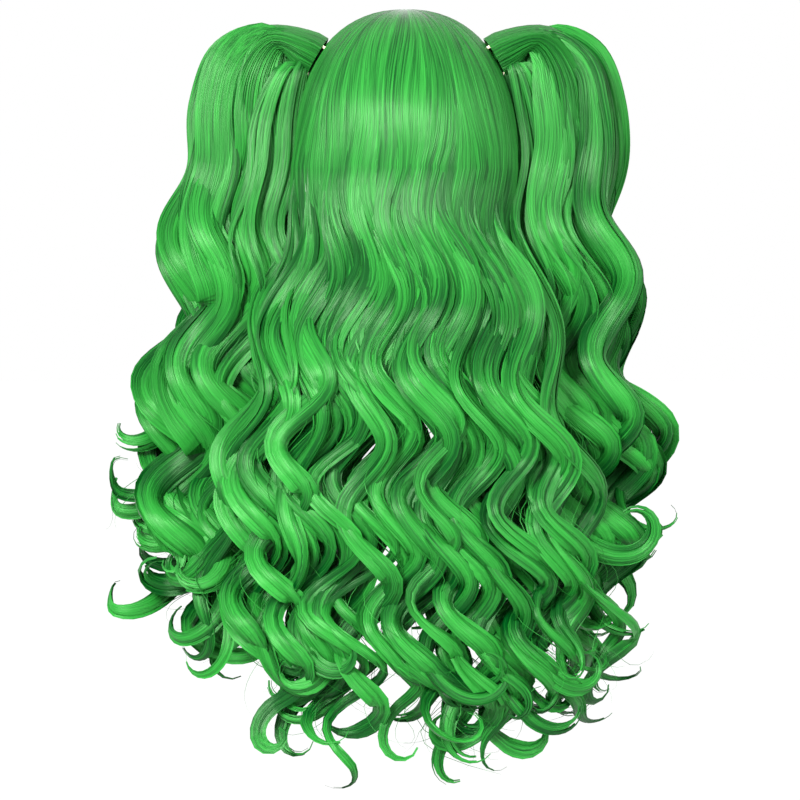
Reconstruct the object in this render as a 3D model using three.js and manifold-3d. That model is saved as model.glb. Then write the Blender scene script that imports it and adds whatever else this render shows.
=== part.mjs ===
// Long curly wig with two clip-on ponytails, seen from behind as it hangs on a head.
// Millimetres, +Z up, +Y to the face, +X to the right of a viewer who stands behind it.
// The origin is the inside of the cap at its crown, where the head carries the wig.

import * as THREE from 'three';
import Module from 'manifold-3d';
import { LoftGeometry } from 'three/addons/geometries/LoftGeometry.js';
import { mergeVertices } from 'three/addons/utils/BufferGeometryUtils.js';

const wasm = await Module();
wasm.setup();

// Driving dimensions

const HEAD_HALF_WIDTH = 75;
const HEAD_HALF_LENGTH = 96;
const HEAD_HEIGHT = 116; // crown down to the level where the head is widest
const HEAD_SQUARENESS = 0.87; // 1 is an ellipsoid, less is a fuller dome

const CAP_WALL = 1.5;
const NAPE_DROP = 152; // crown down to the cap's edge, at the back
const EAR_DROP = 119;
const FOREHEAD_DROP = 58;

const CLEARANCE = 0.3; // between neighbouring pieces
const CROWN_HAIR = 10; // thickness of the hair on the cap at the whorl
const SIDE_HAIR = 12.5; // and round the sides
const STRAND_RIDGE = 1.3; // height of the ridges in the combed hair
const CROWN_DROP = 110; // crown down to where the hair parts into locks, behind and at the sides

const HAIR_LENGTH = 592; // crown down to the lowest curl
const FALL_HALF_WIDTH = 182;
const FALL_DEPTH = 27; // how far the back fall stands off behind the head
const FALL_WRAP = 70; // how far its sides come forward round the shoulders
const FALL_SETTLE = 200; // drop over which the fall takes up that form
const FALL_SPREAD = 1.15; // more than 1 keeps the locks together above and spreads them below
const LOCK_TURN = 0.55; // share of its azimuth by which a lock turns to face sideways
const NAPE_DEPTH = 29; // how far the hair under it hangs inside the head's length
const NAPE_SETTLE = 90;
const CURTAIN_DROP = 325; // crown down to where the side by side locks come apart
const WEFT_HEIGHT = 58;
const WEFT_THICKNESS = 6;
const NAPE_WEFT_THICKNESS = 4.5;

const LOCK_WIDTH = 38;
const LOCK_THICKNESS = 19;
const NAPE_LOCK_THICKNESS = 9.5;
const SIDE_LOCK_THICKNESS = 13.3;
const PONYTAIL_LOCK_THICKNESS = 24.7;

const WAVE_START = 137; // crown down to the first crest
const WAVE_LENGTH = 135; // of the first wave, and of the last ones
const CURL_LENGTH = 80;
const WAVE_DECAY = 200; // over which the waves shorten
const WAVE_SWING = 20;
const WAVE_DEPTH = 5; // swing to and from the viewer in the first waves
const CURL_DEPTH = 17; // and near the tips
const TIP_FLICK = 26;
const FLICK_START = 0.86; // share of a lock's length

const FRINGE_DROP = 112; // crown down to the fringe's lower edge
const FRINGE_THICKNESS = 7;
const FRINGE_TAPER = 0.5; // share of its thickness lost at the lower edge
const FRINGE_NOTCH = 11; // depth of the edge's points
const FRINGE_RIDGE = 1.2; // height of its ridges

const PONYTAIL_ROOT_DROP = 27;
const PONYTAIL_ROOT_AZIMUTH = 93;
const LEFT_REACH = 207; // side curls, from the middle of the head
const RIGHT_REACH = 183;
const PONYTAIL_LENGTH = 535;
const PONYTAIL_ARCH = 46; // how far the outer hair arches out from the root
const PONYTAIL_HALF_DEPTH = 30;
const ROOT_RADIUS = 17; // of the gathered hair over the clip
const ROOT_FLATNESS = 0.62; // its height over its radius

const CLIP_LENGTH = 44;
const CLIP_HALF_WIDTH = 13;
const CLIP_HEIGHT = 8;
const CLIP_WALL = 2.2;
const CLIP_BITE = 4; // how deep the teeth sit in the hair
const CLIP_TEETH = 4;

// Tables. Azimuths are in degrees round the head: 0 is the back, 90 the right, 180 the face.
// tipX is a share of the fall's half width or of the ponytail's reach, tipDrop of the hair's
// or ponytail's length, width of LOCK_WIDTH, and phase is in waves ahead of the middle lock.

const BACK_LOCKS = [
  { azimuth: -66, tipX: -0.83, tipDrop: 0.86, phase: 0.34, width: 0.96, flick: -0.4 },
  { azimuth: -50, tipX: -0.62, tipDrop: 0.91, phase: 0.27, width: 1.05, flick: 1.0 },
  { azimuth: -34, tipX: -0.43, tipDrop: 0.955, phase: 0.18, width: 0.95, flick: 0.8 },
  { azimuth: -17, tipX: -0.27, tipDrop: 0.985, phase: 0.10, width: 0.95, flick: -0.7 },
  { azimuth: 0, tipX: 0.0, tipDrop: 0.96, phase: 0.0, width: 1.0, flick: 1.0 },
  { azimuth: 17, tipX: 0.21, tipDrop: 1.0, phase: 0.0, width: 0.95, flick: 0.8 },
  { azimuth: 34, tipX: 0.42, tipDrop: 0.99, phase: -0.08, width: 0.95, flick: 1.0 },
  { azimuth: 50, tipX: 0.62, tipDrop: 0.96, phase: -0.14, width: 1.05, flick: 0.9 },
  { azimuth: 66, tipX: 0.80, tipDrop: 0.90, phase: -0.22, width: 0.96, flick: 0.5 },
];

const NAPE_LOCKS = [
  { azimuth: -42, tipX: -0.46, tipDrop: 0.72, phase: 0.30, width: 0.7, flick: 0.6 },
  { azimuth: -18, tipX: -0.22, tipDrop: 0.80, phase: 0.12, width: 0.74, flick: -0.6 },
  { azimuth: 18, tipX: 0.24, tipDrop: 0.82, phase: 0.0, width: 0.74, flick: 0.8 },
  { azimuth: 38, tipX: 0.44, tipDrop: 0.74, phase: -0.06, width: 0.66, flick: 0.5 },
];

// Hair in front of the shoulder, for the right side; tipY is a share of the head's half length.
const SIDE_LOCKS = [
  { azimuth: 117, tipX: 0.54, tipY: 0.80, tipDrop: 0.80, phase: -0.1, width: 0.80, flick: 0.6 },
  { azimuth: 131, tipX: 0.40, tipY: 0.98, tipDrop: 0.76, phase: -0.2, width: 0.80, flick: -0.4 },
];

// outward and forward place a lock in the ponytail's bundle: 1 is its outer side, or its front.
const PONYTAIL_LOCKS = [
  { outward: 1.0, forward: 0.05, tipX: 0.97, tipY: -0.24, tipDrop: 0.79, phase: -0.12, width: 0.92, flick: 0.7 },
  { outward: 0.62, forward: -0.8, tipX: 0.83, tipY: -0.50, tipDrop: 0.93, phase: -0.02, width: 1.1, flick: 0.7 },
  { outward: 0.12, forward: -0.62, tipX: 0.66, tipY: -0.34, tipDrop: 1.0, phase: -0.08, width: 0.95, flick: -0.8 },
  { outward: 0.66, forward: 0.85, tipX: 0.80, tipY: 0.14, tipDrop: 0.86, phase: -0.2, width: 1.0, flick: 0.9 },
  { outward: 0.3, forward: 0.2, tipX: 0.64, tipY: 0.04, tipDrop: 0.84, phase: 0.05, width: 0.9, flick: -0.6 },
];

// The way of a ponytail's locks out of the root: mid is the middle of the bundle, as a share of
// the root's radius, arch and lift go with outward, as shares of PONYTAIL_ARCH, forward and lean
// are shares of the half depth, and drop is one of the ponytail's length.
const PONYTAIL_WAY = [
  { mid: 0, arch: 0, forward: 0.35, lean: 0, lift: 0, drop: 0 },
  { mid: 0.41, arch: 0.36, forward: 0.65, lean: 0, lift: 0.13, drop: -0.002 },
  { mid: 0.65, arch: 0.8, forward: 0.85, lean: 0, lift: 0.065, drop: 0.022 },
  { mid: 0.76, arch: 1.04, forward: 1, lean: 0, lift: 0, drop: 0.084 },
  { mid: 0.88, arch: 1.07, forward: 1, lean: -0.13, lift: 0, drop: 0.183 },
];

// The curtain's ridges, a ridge a lock: each place is the share of the way from the lock's middle
// to the valley on that side, and height is a share of the thickness.
const RIDGE_BEFORE = { valley: 0.15, shoulder: { place: 0.5, height: 0.44 }, top: 0.5 };
const RIDGE_AFTER = { place: 0.6, height: 0.38 };

// How wide a lock is along its way, as shares of its length and of its width.
const LOCK_OUTLINE = [
  { along: 0, share: 0.72 },
  { along: 0.2, share: 1 },
  { along: 0.6, share: 0.92 },
  { along: 0.85, share: 0.66 },
  { along: 1, share: 0.12 },
];

const FREE_LOCK_OUTLINE = [
  { along: 0, share: 0.66 },
  { along: 0.5, share: 0.74 },
  { along: 0.85, share: 0.58 },
  { along: 1, share: 0.12 },
];

const PONYTAIL_LOCK_OUTLINE = [
  { along: 0, share: 0.66 },
  { along: 0.2, share: 1 },
  { along: 0.5, share: 1.05 },
  { along: 0.86, share: 0.78 },
  { along: 1, share: 0.12 },
];

const LOCK_SIDES = 5;
const SECTIONS_PER_WAVE = 5;
const SECTIONS_AT_ROOT = 3;
const CURTAIN_SECTIONS = 11;
const CAP_STEP = 15; // degrees between the cap's columns, which the wefts share
const CAP_RINGS = 6;
const FIRST_RING = 0.25; // the ring nearest the crown, in ring steps
const CURTAIN_STEP = 17; // degrees between neighbouring locks of the curtain
const CROWN_RIDGES = 12;
const CROWN_RINGS = 8;
const CROWN_RIM = 20; // width of the flat rim under the crown hair, before its hollow

// Small helpers

const radians = THREE.MathUtils.degToRad;
const lerp = THREE.MathUtils.lerp;
const smoothstep = THREE.MathUtils.smoothstep;

// The value of a table's column at a place along it, between its rows.
function fromRows(rows, place) {
  const after = rows.findIndex((row) => row.along >= place);
  if (after <= 0) return rows[Math.max(after, 0)].share;
  const [a, b] = [rows[after - 1], rows[after]];
  return lerp(a.share, b.share, smoothstep(place, a.along, b.along));
}

function toSolid(geometry) {
  const bare = new THREE.BufferGeometry();
  bare.setAttribute('position', geometry.attributes.position);
  bare.setIndex(geometry.index);
  const merged = mergeVertices(bare, 1e-3);
  const vertProperties = new Float32Array(merged.attributes.position.array);
  const triVerts = new Uint32Array(merged.index.array);
  return new wasm.Manifold(new wasm.Mesh({ numProp: 3, vertProperties, triVerts }));
}

function fromSolid(solid) {
  const mesh = solid.getMesh();
  const geometry = new THREE.BufferGeometry();
  geometry.setAttribute('position', new THREE.BufferAttribute(new Float32Array(mesh.vertProperties), 3));
  geometry.setIndex(new THREE.BufferAttribute(new Uint32Array(mesh.triVerts), 1));
  geometry.computeVertexNormals();
  return geometry;
}

// Joins solids that meet into one body, and fills any void that they enclose between them.
function join(solids) {
  const bodies = solids.reduce((whole, solid) => whole.add(solid)).decompose();
  return bodies.reduce((a, b) => (a.volume() > b.volume() ? a : b));
}

function loft(sections) {
  return toSolid(new LoftGeometry(sections, { capStart: true, capEnd: true }));
}

// The form of the head. A level runs from 0 at the crown to 90 where the head is widest.

function headPoint(azimuth, level, offset) {
  const [a, l] = [radians(azimuth), radians(level)];
  const out = Math.sin(l) ** HEAD_SQUARENESS;
  const up = Math.sign(Math.cos(l)) * Math.abs(Math.cos(l)) ** HEAD_SQUARENESS;
  return new THREE.Vector3(
    (HEAD_HALF_WIDTH + offset) * out * Math.sin(a),
    -(HEAD_HALF_LENGTH + offset) * out * Math.cos(a),
    -HEAD_HEIGHT + (HEAD_HEIGHT + offset) * up,
  );
}

// The level at which the form, grown by an offset, is a given drop below the crown.
function levelAt(drop, offset) {
  const up = (HEAD_HEIGHT - drop) / (HEAD_HEIGHT + offset);
  const cosine = Math.sign(up) * Math.min(Math.abs(up), 1) ** (1 / HEAD_SQUARENESS);
  return THREE.MathUtils.radToDeg(Math.acos(cosine));
}

// Below the widest level hair doesn't follow the nape but hangs straight down.
function hangPoint(azimuth, drop, offset) {
  const point = headPoint(azimuth, levelAt(Math.min(drop, HEAD_HEIGHT), offset), offset);
  point.z = -drop;
  return point;
}

// A drop that changes smoothly from the back to the sides and on to the face.
function dropRound(azimuth, back, side, front) {
  const c = Math.cos(radians(azimuth));
  return side + (c > 0 ? back - side : front - side) * c * c;
}

function ringShare(ring, rings) {
  return (ring - 1 + FIRST_RING) / (rings - 1 + FIRST_RING);
}

// A cup over the head: rings from the crown to an edge, closed by a lid, as one solid. Cups
// with the same rimOffset, rings and columns have parallel facets. An overrun carries the edge on
// straight down; a hollow is how far the flat rim runs inwards before the lid.
function domeSolid({ edgeDrop, offset, rimOffset, rings, columns, overrun = 0, hollow = 0 }) {
  const sections = [];
  for (let i = 1; i <= rings; i += 1) {
    const section = [];
    for (let j = 0; j < columns; j += 1) {
      const azimuth = (360 * j) / columns;
      const level = levelAt(edgeDrop(azimuth), rimOffset) * ringShare(i, rings);
      const point = headPoint(azimuth, level, offset(azimuth, i / rings));
      if (hollow > 0 && i === rings) point.z = -edgeDrop(azimuth);
      section.push(point);
    }
    sections.push(section.reverse());
  }
  const rim = sections.at(-1);
  if (overrun > 0) sections.push(rim.map((p) => p.clone().setZ(p.z - overrun)));
  if (hollow > 0) {
    const inner = Array.from({ length: columns }, (_, j) => {
      const azimuth = (360 * j) / columns;
      const drop = edgeDrop(azimuth);
      return hangPoint(azimuth, drop, offset(azimuth, 1) - hollow).setZ(-drop - CLEARANCE);
    });
    sections.push(inner.reverse());
  }
  return loft(sections);
}

// A curved strip of hair, from one drop to another, between two azimuths and two offsets.
function stripSolid({ from, to, top, bottom, inner, outer, columns, rows }) {
  const sections = [];
  for (let i = 0; i <= rows; i += 1) {
    const [front, back] = [[], []];
    for (let j = 0; j <= columns; j += 1) {
      const azimuth = lerp(from, to, j / columns);
      const drop = lerp(top(azimuth), bottom(azimuth, j), i / rows);
      front.push(hangPoint(azimuth, drop, outer(i / rows, j)));
      back.push(hangPoint(azimuth, drop, inner));
    }
    sections.push([...front, ...back.reverse()].reverse());
  }
  return loft(sections);
}

// Waves. All the locks share one wave pattern that shortens from the nape to the tips.

function wavesAt(drop) {
  const below = Math.max(drop - WAVE_START, -WAVE_START);
  const stretch = CURL_LENGTH * Math.exp(below / WAVE_DECAY) + WAVE_LENGTH - CURL_LENGTH;
  return (WAVE_DECAY / CURL_LENGTH) * Math.log(stretch / WAVE_LENGTH);
}

// A point moved off its lock's plain way by the waves: sideways first, round like a spring
// towards the tip, which flicks out sideways.
function waved(point, along, { phase, flick }, { side, facing }) {
  const drop = -point.z;
  const angle = 2 * Math.PI * (wavesAt(drop) + phase);
  const sway = WAVE_SWING * smoothstep(drop, CROWN_DROP, WAVE_START + WEFT_HEIGHT);
  const depth = (sway / WAVE_SWING) * lerp(WAVE_DEPTH, CURL_DEPTH, smoothstep(along, 0.25, FLICK_START));
  const swept = TIP_FLICK * flick * smoothstep(along, FLICK_START, 1) ** 2;
  return point.clone()
    .addScaledVector(side, swept - sway * Math.cos(angle))
    .addScaledVector(facing, depth * Math.sin(angle));
}

// How many sections a lock needs between two drops.
function sectionCount(fromDrop, toDrop) {
  return SECTIONS_AT_ROOT + Math.round(SECTIONS_PER_WAVE * (wavesAt(toDrop) - wavesAt(fromDrop)));
}

// A lock: a flattened section carried along a line, broad side to the facing direction.
function lockSolid(points, facing, width, thickness, outline = LOCK_OUTLINE) {
  const sections = points.map((point, i) => {
    const before = points[Math.max(i - 1, 0)];
    const after = points[Math.min(i + 1, points.length - 1)];
    const tangent = after.clone().sub(before).normalize();
    const normal = facing.clone().addScaledVector(tangent, -facing.dot(tangent)).normalize();
    const across = tangent.clone().cross(normal);
    const share = fromRows(outline, i / (points.length - 1));
    return Array.from({ length: LOCK_SIDES }, (_, j) => {
      const turn = (2 * Math.PI * j) / LOCK_SIDES;
      return point.clone()
        .addScaledVector(normal, 0.5 * thickness * share * Math.cos(turn))
        .addScaledVector(across, 0.5 * width * share * Math.sin(turn));
    });
  });
  return loft(sections);
}

// The waved points of a lock whose plain way is a curve.
function alongCurve(base, row, frame) {
  const count = sectionCount(-base.getPoint(0).z, -base.getPoint(1).z);
  return Array.from({ length: count + 1 }, (_, i) => waved(base.getPointAt(i / count), i / count, row, frame));
}

// Back hair

// The sheet that the back fall follows: behind the head in the middle, forward at its sides.
function fallDepth(x, standOff) {
  const out = x / FALL_HALF_WIDTH;
  return -HEAD_HALF_LENGTH - standOff + FALL_WRAP * out * out;
}

// A point of a falling lock at a given drop: straight down from its weft, then spreading.
function fallPoint(row, drop, { rootOffset, standOff, from, settle }) {
  const point = hangPoint(row.azimuth, drop, rootOffset);
  const spread = Math.max(drop - EAR_DROP, 0) / (row.tipDrop * HAIR_LENGTH - EAR_DROP);
  point.x = lerp(point.x, row.tipX * FALL_HALF_WIDTH, spread ** FALL_SPREAD);
  point.y = lerp(point.y, fallDepth(point.x, standOff), smoothstep(drop, from, from + settle));
  return waved(point, spread, row, fallFrame(row.azimuth));
}

// The directions that a lock of the fall faces and sways in.
function fallFrame(azimuth) {
  const turn = radians(LOCK_TURN * azimuth);
  return {
    facing: new THREE.Vector3(Math.sin(turn), -Math.cos(turn), 0),
    side: new THREE.Vector3(Math.cos(turn), Math.sin(turn), 0),
  };
}

function fallingLock(row, fromDrop, layer, thickness, outline) {
  const tipDrop = row.tipDrop * HAIR_LENGTH;
  const count = sectionCount(fromDrop, tipDrop);
  const points = Array.from({ length: count + 1 }, (_, i) => (
    fallPoint(row, lerp(fromDrop, tipDrop, i / count), layer)
  ));
  return lockSolid(points, fallFrame(row.azimuth).facing, row.width * LOCK_WIDTH, thickness, outline);
}

// The upper fall, where neighbouring locks lie side by side: one ridged sheet, a ridge a lock.
function curtainSolid(rows, layer, thicknessAt) {
  const sections = [];
  for (let i = 0; i <= CURTAIN_SECTIONS; i += 1) {
    const thickness = thicknessAt(i / CURTAIN_SECTIONS);
    const centres = rows.map((row) => {
      const drop = lerp(crownEdge(row.azimuth) + 2 * CLEARANCE, CURTAIN_DROP, i / CURTAIN_SECTIONS);
      return fallPoint(row, drop, layer);
    });
    const edge = (row, centre, hand) => (
      centre.clone().addScaledVector(fallFrame(row.azimuth).side, 0.5 * hand * row.width * LOCK_WIDTH)
    );
    const valleys = [
      edge(rows[0], centres[0], -1),
      ...centres.slice(1).map((centre, j) => centre.clone().lerp(centres[j], 0.5)),
      edge(rows.at(-1), centres.at(-1), 1),
    ];
    const raised = (point, row, height) => (
      point.clone().addScaledVector(fallFrame(row.azimuth).facing, height * thickness)
    );
    const { valley, shoulder, top } = RIDGE_BEFORE;
    const outer = rows.flatMap((row, j) => [
      raised(valleys[j], row, j === 0 ? 0 : valley),
      raised(centres[j].clone().lerp(valleys[j], shoulder.place), row, shoulder.height),
      raised(centres[j], row, top),
      raised(centres[j].clone().lerp(valleys[j + 1], RIDGE_AFTER.place), row, RIDGE_AFTER.height),
    ]);
    const inner = rows.map((row, j) => raised(centres[j], row, -top)).reverse();
    sections.push([...outer, valleys.at(-1), ...inner].reverse());
  }
  return loft(sections);
}

const crownInner = CAP_WALL + CLEARANCE;
// The curtain's inner side is made of chords that reach in by their sagitta.
const chordDip = (HEAD_HALF_LENGTH + SIDE_HAIR) * (1 - Math.cos(radians(CURTAIN_STEP / 2)));
const weftInner = crownInner + Math.max(SIDE_HAIR - WEFT_THICKNESS, NAPE_WEFT_THICKNESS + CLEARANCE + chordDip);

function crownEdge(azimuth) {
  return dropRound(azimuth, CROWN_DROP, CROWN_DROP, FOREHEAD_DROP);
}

const backLayer = {
  rootOffset: weftInner + WEFT_THICKNESS / 2,
  standOff: FALL_DEPTH,
  from: EAR_DROP,
  settle: FALL_SETTLE,
};
const napeLayer = {
  rootOffset: crownInner + NAPE_WEFT_THICKNESS / 2,
  standOff: -NAPE_DEPTH,
  from: NAPE_DROP,
  settle: NAPE_SETTLE,
};

// The back fall's curtain, or with a growth the room that it keeps clear of the hair under it.
function backCurtain(growth) {
  return curtainSolid(BACK_LOCKS, backLayer, (down) => (
    lerp(WEFT_THICKNESS, LOCK_THICKNESS, smoothstep(down, 0.1, 0.6)) + 2 * growth
  ));
}

function backHair() {
  const curtain = backCurtain(0);
  const locks = BACK_LOCKS.map((row) => (
    fallingLock(row, CURTAIN_DROP - LOCK_THICKNESS, backLayer, LOCK_THICKNESS, FREE_LOCK_OUTLINE)
  ));
  return join([curtain, ...locks]);
}

function napeHair() {
  const strip = stripSolid({
    from: -4 * CAP_STEP, to: 4 * CAP_STEP, columns: 8, rows: 2,
    top: (azimuth) => crownEdge(azimuth) + 2 * CLEARANCE,
    bottom: () => NAPE_DROP + CLEARANCE,
    inner: crownInner,
    outer: () => crownInner + NAPE_WEFT_THICKNESS,
  });
  const locks = NAPE_LOCKS.map((row) => (
    fallingLock(row, NAPE_DROP - CLEARANCE, napeLayer, NAPE_LOCK_THICKNESS)
  ));
  return join([join([strip, ...locks]).subtract(backCurtain(CLEARANCE))]);
}

// Cap and crown hair

function capEdge(azimuth) {
  return dropRound(azimuth, NAPE_DROP, EAR_DROP, FOREHEAD_DROP);
}

// One of the parallel skins of the cap, or of the hair's inside against it.
function capSkin(offset, overrun = 0) {
  const columns = 360 / CAP_STEP;
  return domeSolid({ edgeDrop: capEdge, offset: () => offset, rimOffset: 0, rings: CAP_RINGS, columns, overrun });
}

function wigCap() {
  return capSkin(CAP_WALL).subtract(capSkin(0, 4 * CAP_WALL));
}

// Hair thickness over the cap, with ridges that run down from the whorl.
function crownOffset(azimuth, along) {
  const fullness = smoothstep(along, 0.1, 0.8);
  const ridge = STRAND_RIDGE * Math.cos(radians(azimuth) * CROWN_RIDGES + 2 * along);
  return crownInner + lerp(CROWN_HAIR, SIDE_HAIR, fullness) + ridge * smoothstep(along, 0.15, 0.6);
}

// The outside of the crown hair, filled, down to a gap below its edge.
function crownDome(gap) {
  return domeSolid({
    edgeDrop: (azimuth) => crownEdge(azimuth) + gap,
    offset: crownOffset,
    rimOffset: crownInner + SIDE_HAIR,
    rings: CROWN_RINGS,
    columns: 4 * CROWN_RIDGES,
    hollow: CROWN_RIM,
  });
}

function crownHair(clipSeats) {
  const hair = crownDome(0).subtract(capSkin(crownInner, SIDE_HAIR));
  return clipSeats.reduce((rest, seat) => rest.subtract(seat), hair);
}

function fringe() {
  const notched = (column) => column % 2 === 0;
  return stripSolid({
    from: 180 - 3 * CAP_STEP, to: 180 + 3 * CAP_STEP, columns: 12, rows: 4,
    top: (azimuth) => crownEdge(azimuth) + 3 * CLEARANCE,
    bottom: (azimuth, column) => FRINGE_DROP - (notched(column) ? FRINGE_NOTCH : 0),
    inner: crownInner,
    outer: (down, column) => {
      const plain = FRINGE_THICKNESS * (1 - FRINGE_TAPER * down * down);
      return crownInner + plain + (notched(column) ? -FRINGE_RIDGE : FRINGE_RIDGE);
    },
  });
}

function sideHair(hand) {
  const [front, back] = [9 * CAP_STEP, 6 * CAP_STEP].map((azimuth) => hand * azimuth);
  const strip = stripSolid({
    from: Math.min(front, back), to: Math.max(front, back), columns: 6, rows: 4,
    top: crownEdge,
    bottom: (azimuth) => crownEdge(azimuth) + WEFT_HEIGHT,
    inner: crownInner + CLEARANCE,
    outer: () => crownInner + CLEARANCE + WEFT_THICKNESS,
  });
  const rootOffset = crownInner + 2 * CLEARANCE + SIDE_LOCK_THICKNESS / 2;
  const locks = SIDE_LOCKS.map((row) => {
    const azimuth = hand * row.azimuth;
    const rootDrop = crownEdge(azimuth) + 0.5 * LOCK_WIDTH;
    const root = hangPoint(azimuth, rootDrop, rootOffset);
    const neck = hangPoint(azimuth, rootDrop + WEFT_HEIGHT, rootOffset);
    const tipX = hand * row.tipX * FALL_HALF_WIDTH;
    const tip = new THREE.Vector3(tipX, row.tipY * HEAD_HALF_LENGTH, -row.tipDrop * HAIR_LENGTH);
    const base = new THREE.CatmullRomCurve3([root, neck, neck.clone().lerp(tip, 0.5), tip]);
    const turn = radians(azimuth);
    const facing = new THREE.Vector3(Math.sin(turn), -Math.cos(turn), 0);
    const side = new THREE.Vector3(Math.cos(turn), Math.sin(turn), 0);
    const points = alongCurve(base, { ...row, flick: hand * row.flick }, { side, facing });
    return lockSolid(points, facing, row.width * LOCK_WIDTH, SIDE_LOCK_THICKNESS);
  });
  return join([strip.subtract(crownDome(2 * CLEARANCE)), ...locks]);
}

// Clips and ponytails

// The place on the crown hair where a clip bites, with its outward, forward and down directions.
function clipPlace(hand) {
  const azimuth = hand * PONYTAIL_ROOT_AZIMUTH;
  const offset = crownInner + SIDE_HAIR;
  const level = levelAt(PONYTAIL_ROOT_DROP, offset);
  const point = headPoint(azimuth, level, offset);
  const down = headPoint(azimuth, level + 1, offset).sub(headPoint(azimuth, level - 1, offset)).normalize();
  const forward = new THREE.Vector3(0, 1, 0).addScaledVector(down, -down.y).normalize();
  const outward = forward.clone().cross(down).multiplyScalar(-hand);
  return { point, down, forward, outward };
}

function placedAt({ point, down, outward }, geometry) {
  const matrix = new THREE.Matrix4().makeBasis(down, outward, down.clone().cross(outward));
  matrix.setPosition(point);
  return geometry.applyMatrix4(matrix);
}

// A hair claw: an arch of two toothed jaws, one plain piece.
function clipSolid(place) {
  const arch = new THREE.Shape();
  arch.moveTo(CLIP_HALF_WIDTH, -CLIP_BITE);
  arch.lineTo(CLIP_HALF_WIDTH, 0);
  arch.absellipse(0, 0, CLIP_HALF_WIDTH, CLIP_HEIGHT, 0, Math.PI, false);
  arch.lineTo(-CLIP_HALF_WIDTH, -CLIP_BITE);
  arch.lineTo(CLIP_WALL - CLIP_HALF_WIDTH, -CLIP_BITE);
  arch.lineTo(CLIP_WALL - CLIP_HALF_WIDTH, 0);
  arch.absellipse(0, 0, CLIP_HALF_WIDTH - CLIP_WALL, CLIP_HEIGHT - CLIP_WALL, Math.PI, 0, true);
  arch.lineTo(CLIP_HALF_WIDTH - CLIP_WALL, -CLIP_BITE);
  const body = new THREE.ExtrudeGeometry(arch, { depth: CLIP_LENGTH, bevelEnabled: false, curveSegments: 4 });
  body.translate(0, 0, -CLIP_LENGTH / 2);
  let clip = toSolid(placedAt(place, body));
  const pitch = CLIP_LENGTH / CLIP_TEETH;
  for (let i = 1; i < CLIP_TEETH; i += 1) {
    const gap = new THREE.BoxGeometry(3 * CLIP_HALF_WIDTH, CLIP_BITE + CLIP_WALL, 0.5 * pitch);
    gap.translate(0, -0.5 * (CLIP_BITE + CLIP_WALL) + 0.4 * CLIP_WALL, i * pitch - CLIP_LENGTH / 2);
    clip = clip.subtract(toSolid(placedAt(place, gap)));
  }
  return clip;
}

// The hollow that a clip's teeth press into the crown hair.
function clipSeat(place) {
  const depth = CLIP_BITE + 2 * CLEARANCE;
  const seat = new THREE.BoxGeometry(
    2 * (CLIP_HALF_WIDTH + 2 * CLEARANCE),
    depth + CLIP_HEIGHT,
    CLIP_LENGTH + 4 * CLEARANCE,
  );
  seat.translate(0, -depth + (depth + CLIP_HEIGHT) / 2, 0);
  return toSolid(placedAt(place, seat));
}

// The gathered hair over the clip, from which the ponytail's locks spring.
function ponytailRoot(place) {
  const knot = new THREE.SphereGeometry(ROOT_RADIUS, 10, 6);
  knot.scale(1, ROOT_FLATNESS, 1);
  knot.translate(0, CLIP_HEIGHT + 2 * CLEARANCE + ROOT_FLATNESS * ROOT_RADIUS, 0);
  return toSolid(placedAt(place, knot));
}

function ponytail(hand, place) {
  const start = place.point.clone()
    .addScaledVector(place.outward, CLIP_HEIGHT + ROOT_FLATNESS * ROOT_RADIUS);
  const frame = { facing: new THREE.Vector3(0, -1, 0), side: new THREE.Vector3(1, 0, 0) };
  const locks = PONYTAIL_LOCKS.map((row) => {
    const way = PONYTAIL_WAY.map((step) => new THREE.Vector3(
      start.x + hand * (step.mid * ROOT_RADIUS + step.arch * row.outward * PONYTAIL_ARCH),
      start.y + (step.forward * row.forward + step.lean) * PONYTAIL_HALF_DEPTH,
      start.z + step.lift * row.outward * PONYTAIL_ARCH - step.drop * PONYTAIL_LENGTH,
    ));
    const tip = new THREE.Vector3(
      row.tipX * (hand < 0 ? -LEFT_REACH : RIGHT_REACH),
      row.tipY * HEAD_HALF_LENGTH,
      -row.tipDrop * PONYTAIL_LENGTH,
    );
    const base = new THREE.CatmullRomCurve3([...way, way.at(-1).clone().lerp(tip, 0.5), tip]);
    const points = alongCurve(base, { ...row, flick: hand * row.flick }, frame);
    const width = row.width * LOCK_WIDTH;
    return lockSolid(points, frame.facing, width, PONYTAIL_LOCK_THICKNESS, PONYTAIL_LOCK_OUTLINE);
  });
  return join([ponytailRoot(place), ...locks]);
}

// Materials

const hairMaterial = (color) => new THREE.MeshStandardMaterial({ color, roughness: 0.42, metalness: 0 });
const netMaterial = new THREE.MeshStandardMaterial({ color: 0x0f4a1c, roughness: 0.9, metalness: 0 });
const clipMaterial = new THREE.MeshStandardMaterial({ color: 0xe6dcc4, roughness: 0.35, metalness: 0 });

// The wig

const wig = new THREE.Group();

function addPiece(name, solid, material) {
  const mesh = new THREE.Mesh(fromSolid(solid), material);
  mesh.name = name;
  wig.add(mesh);
}

const places = { left: clipPlace(-1), right: clipPlace(1) };

addPiece('wig_cap', wigCap(), netMaterial);
addPiece('crown_hair', crownHair(Object.values(places).map(clipSeat)), hairMaterial(0x3a9942));
addPiece('back_hair', backHair(), hairMaterial(0x3fa048));
addPiece('nape_hair', napeHair(), hairMaterial(0x22722e));
addPiece('fringe', fringe(), hairMaterial(0x3a9942));
for (const [name, hand] of [['left', -1], ['right', 1]]) {
  addPiece(`side_hair_${name}`, sideHair(hand), hairMaterial(0x338c3c));
  addPiece(`ponytail_${name}`, ponytail(hand, places[name]), hairMaterial(0x45a84d));
  addPiece(`clip_${name}`, clipSolid(places[name]), clipMaterial);
}

export default wig;
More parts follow.
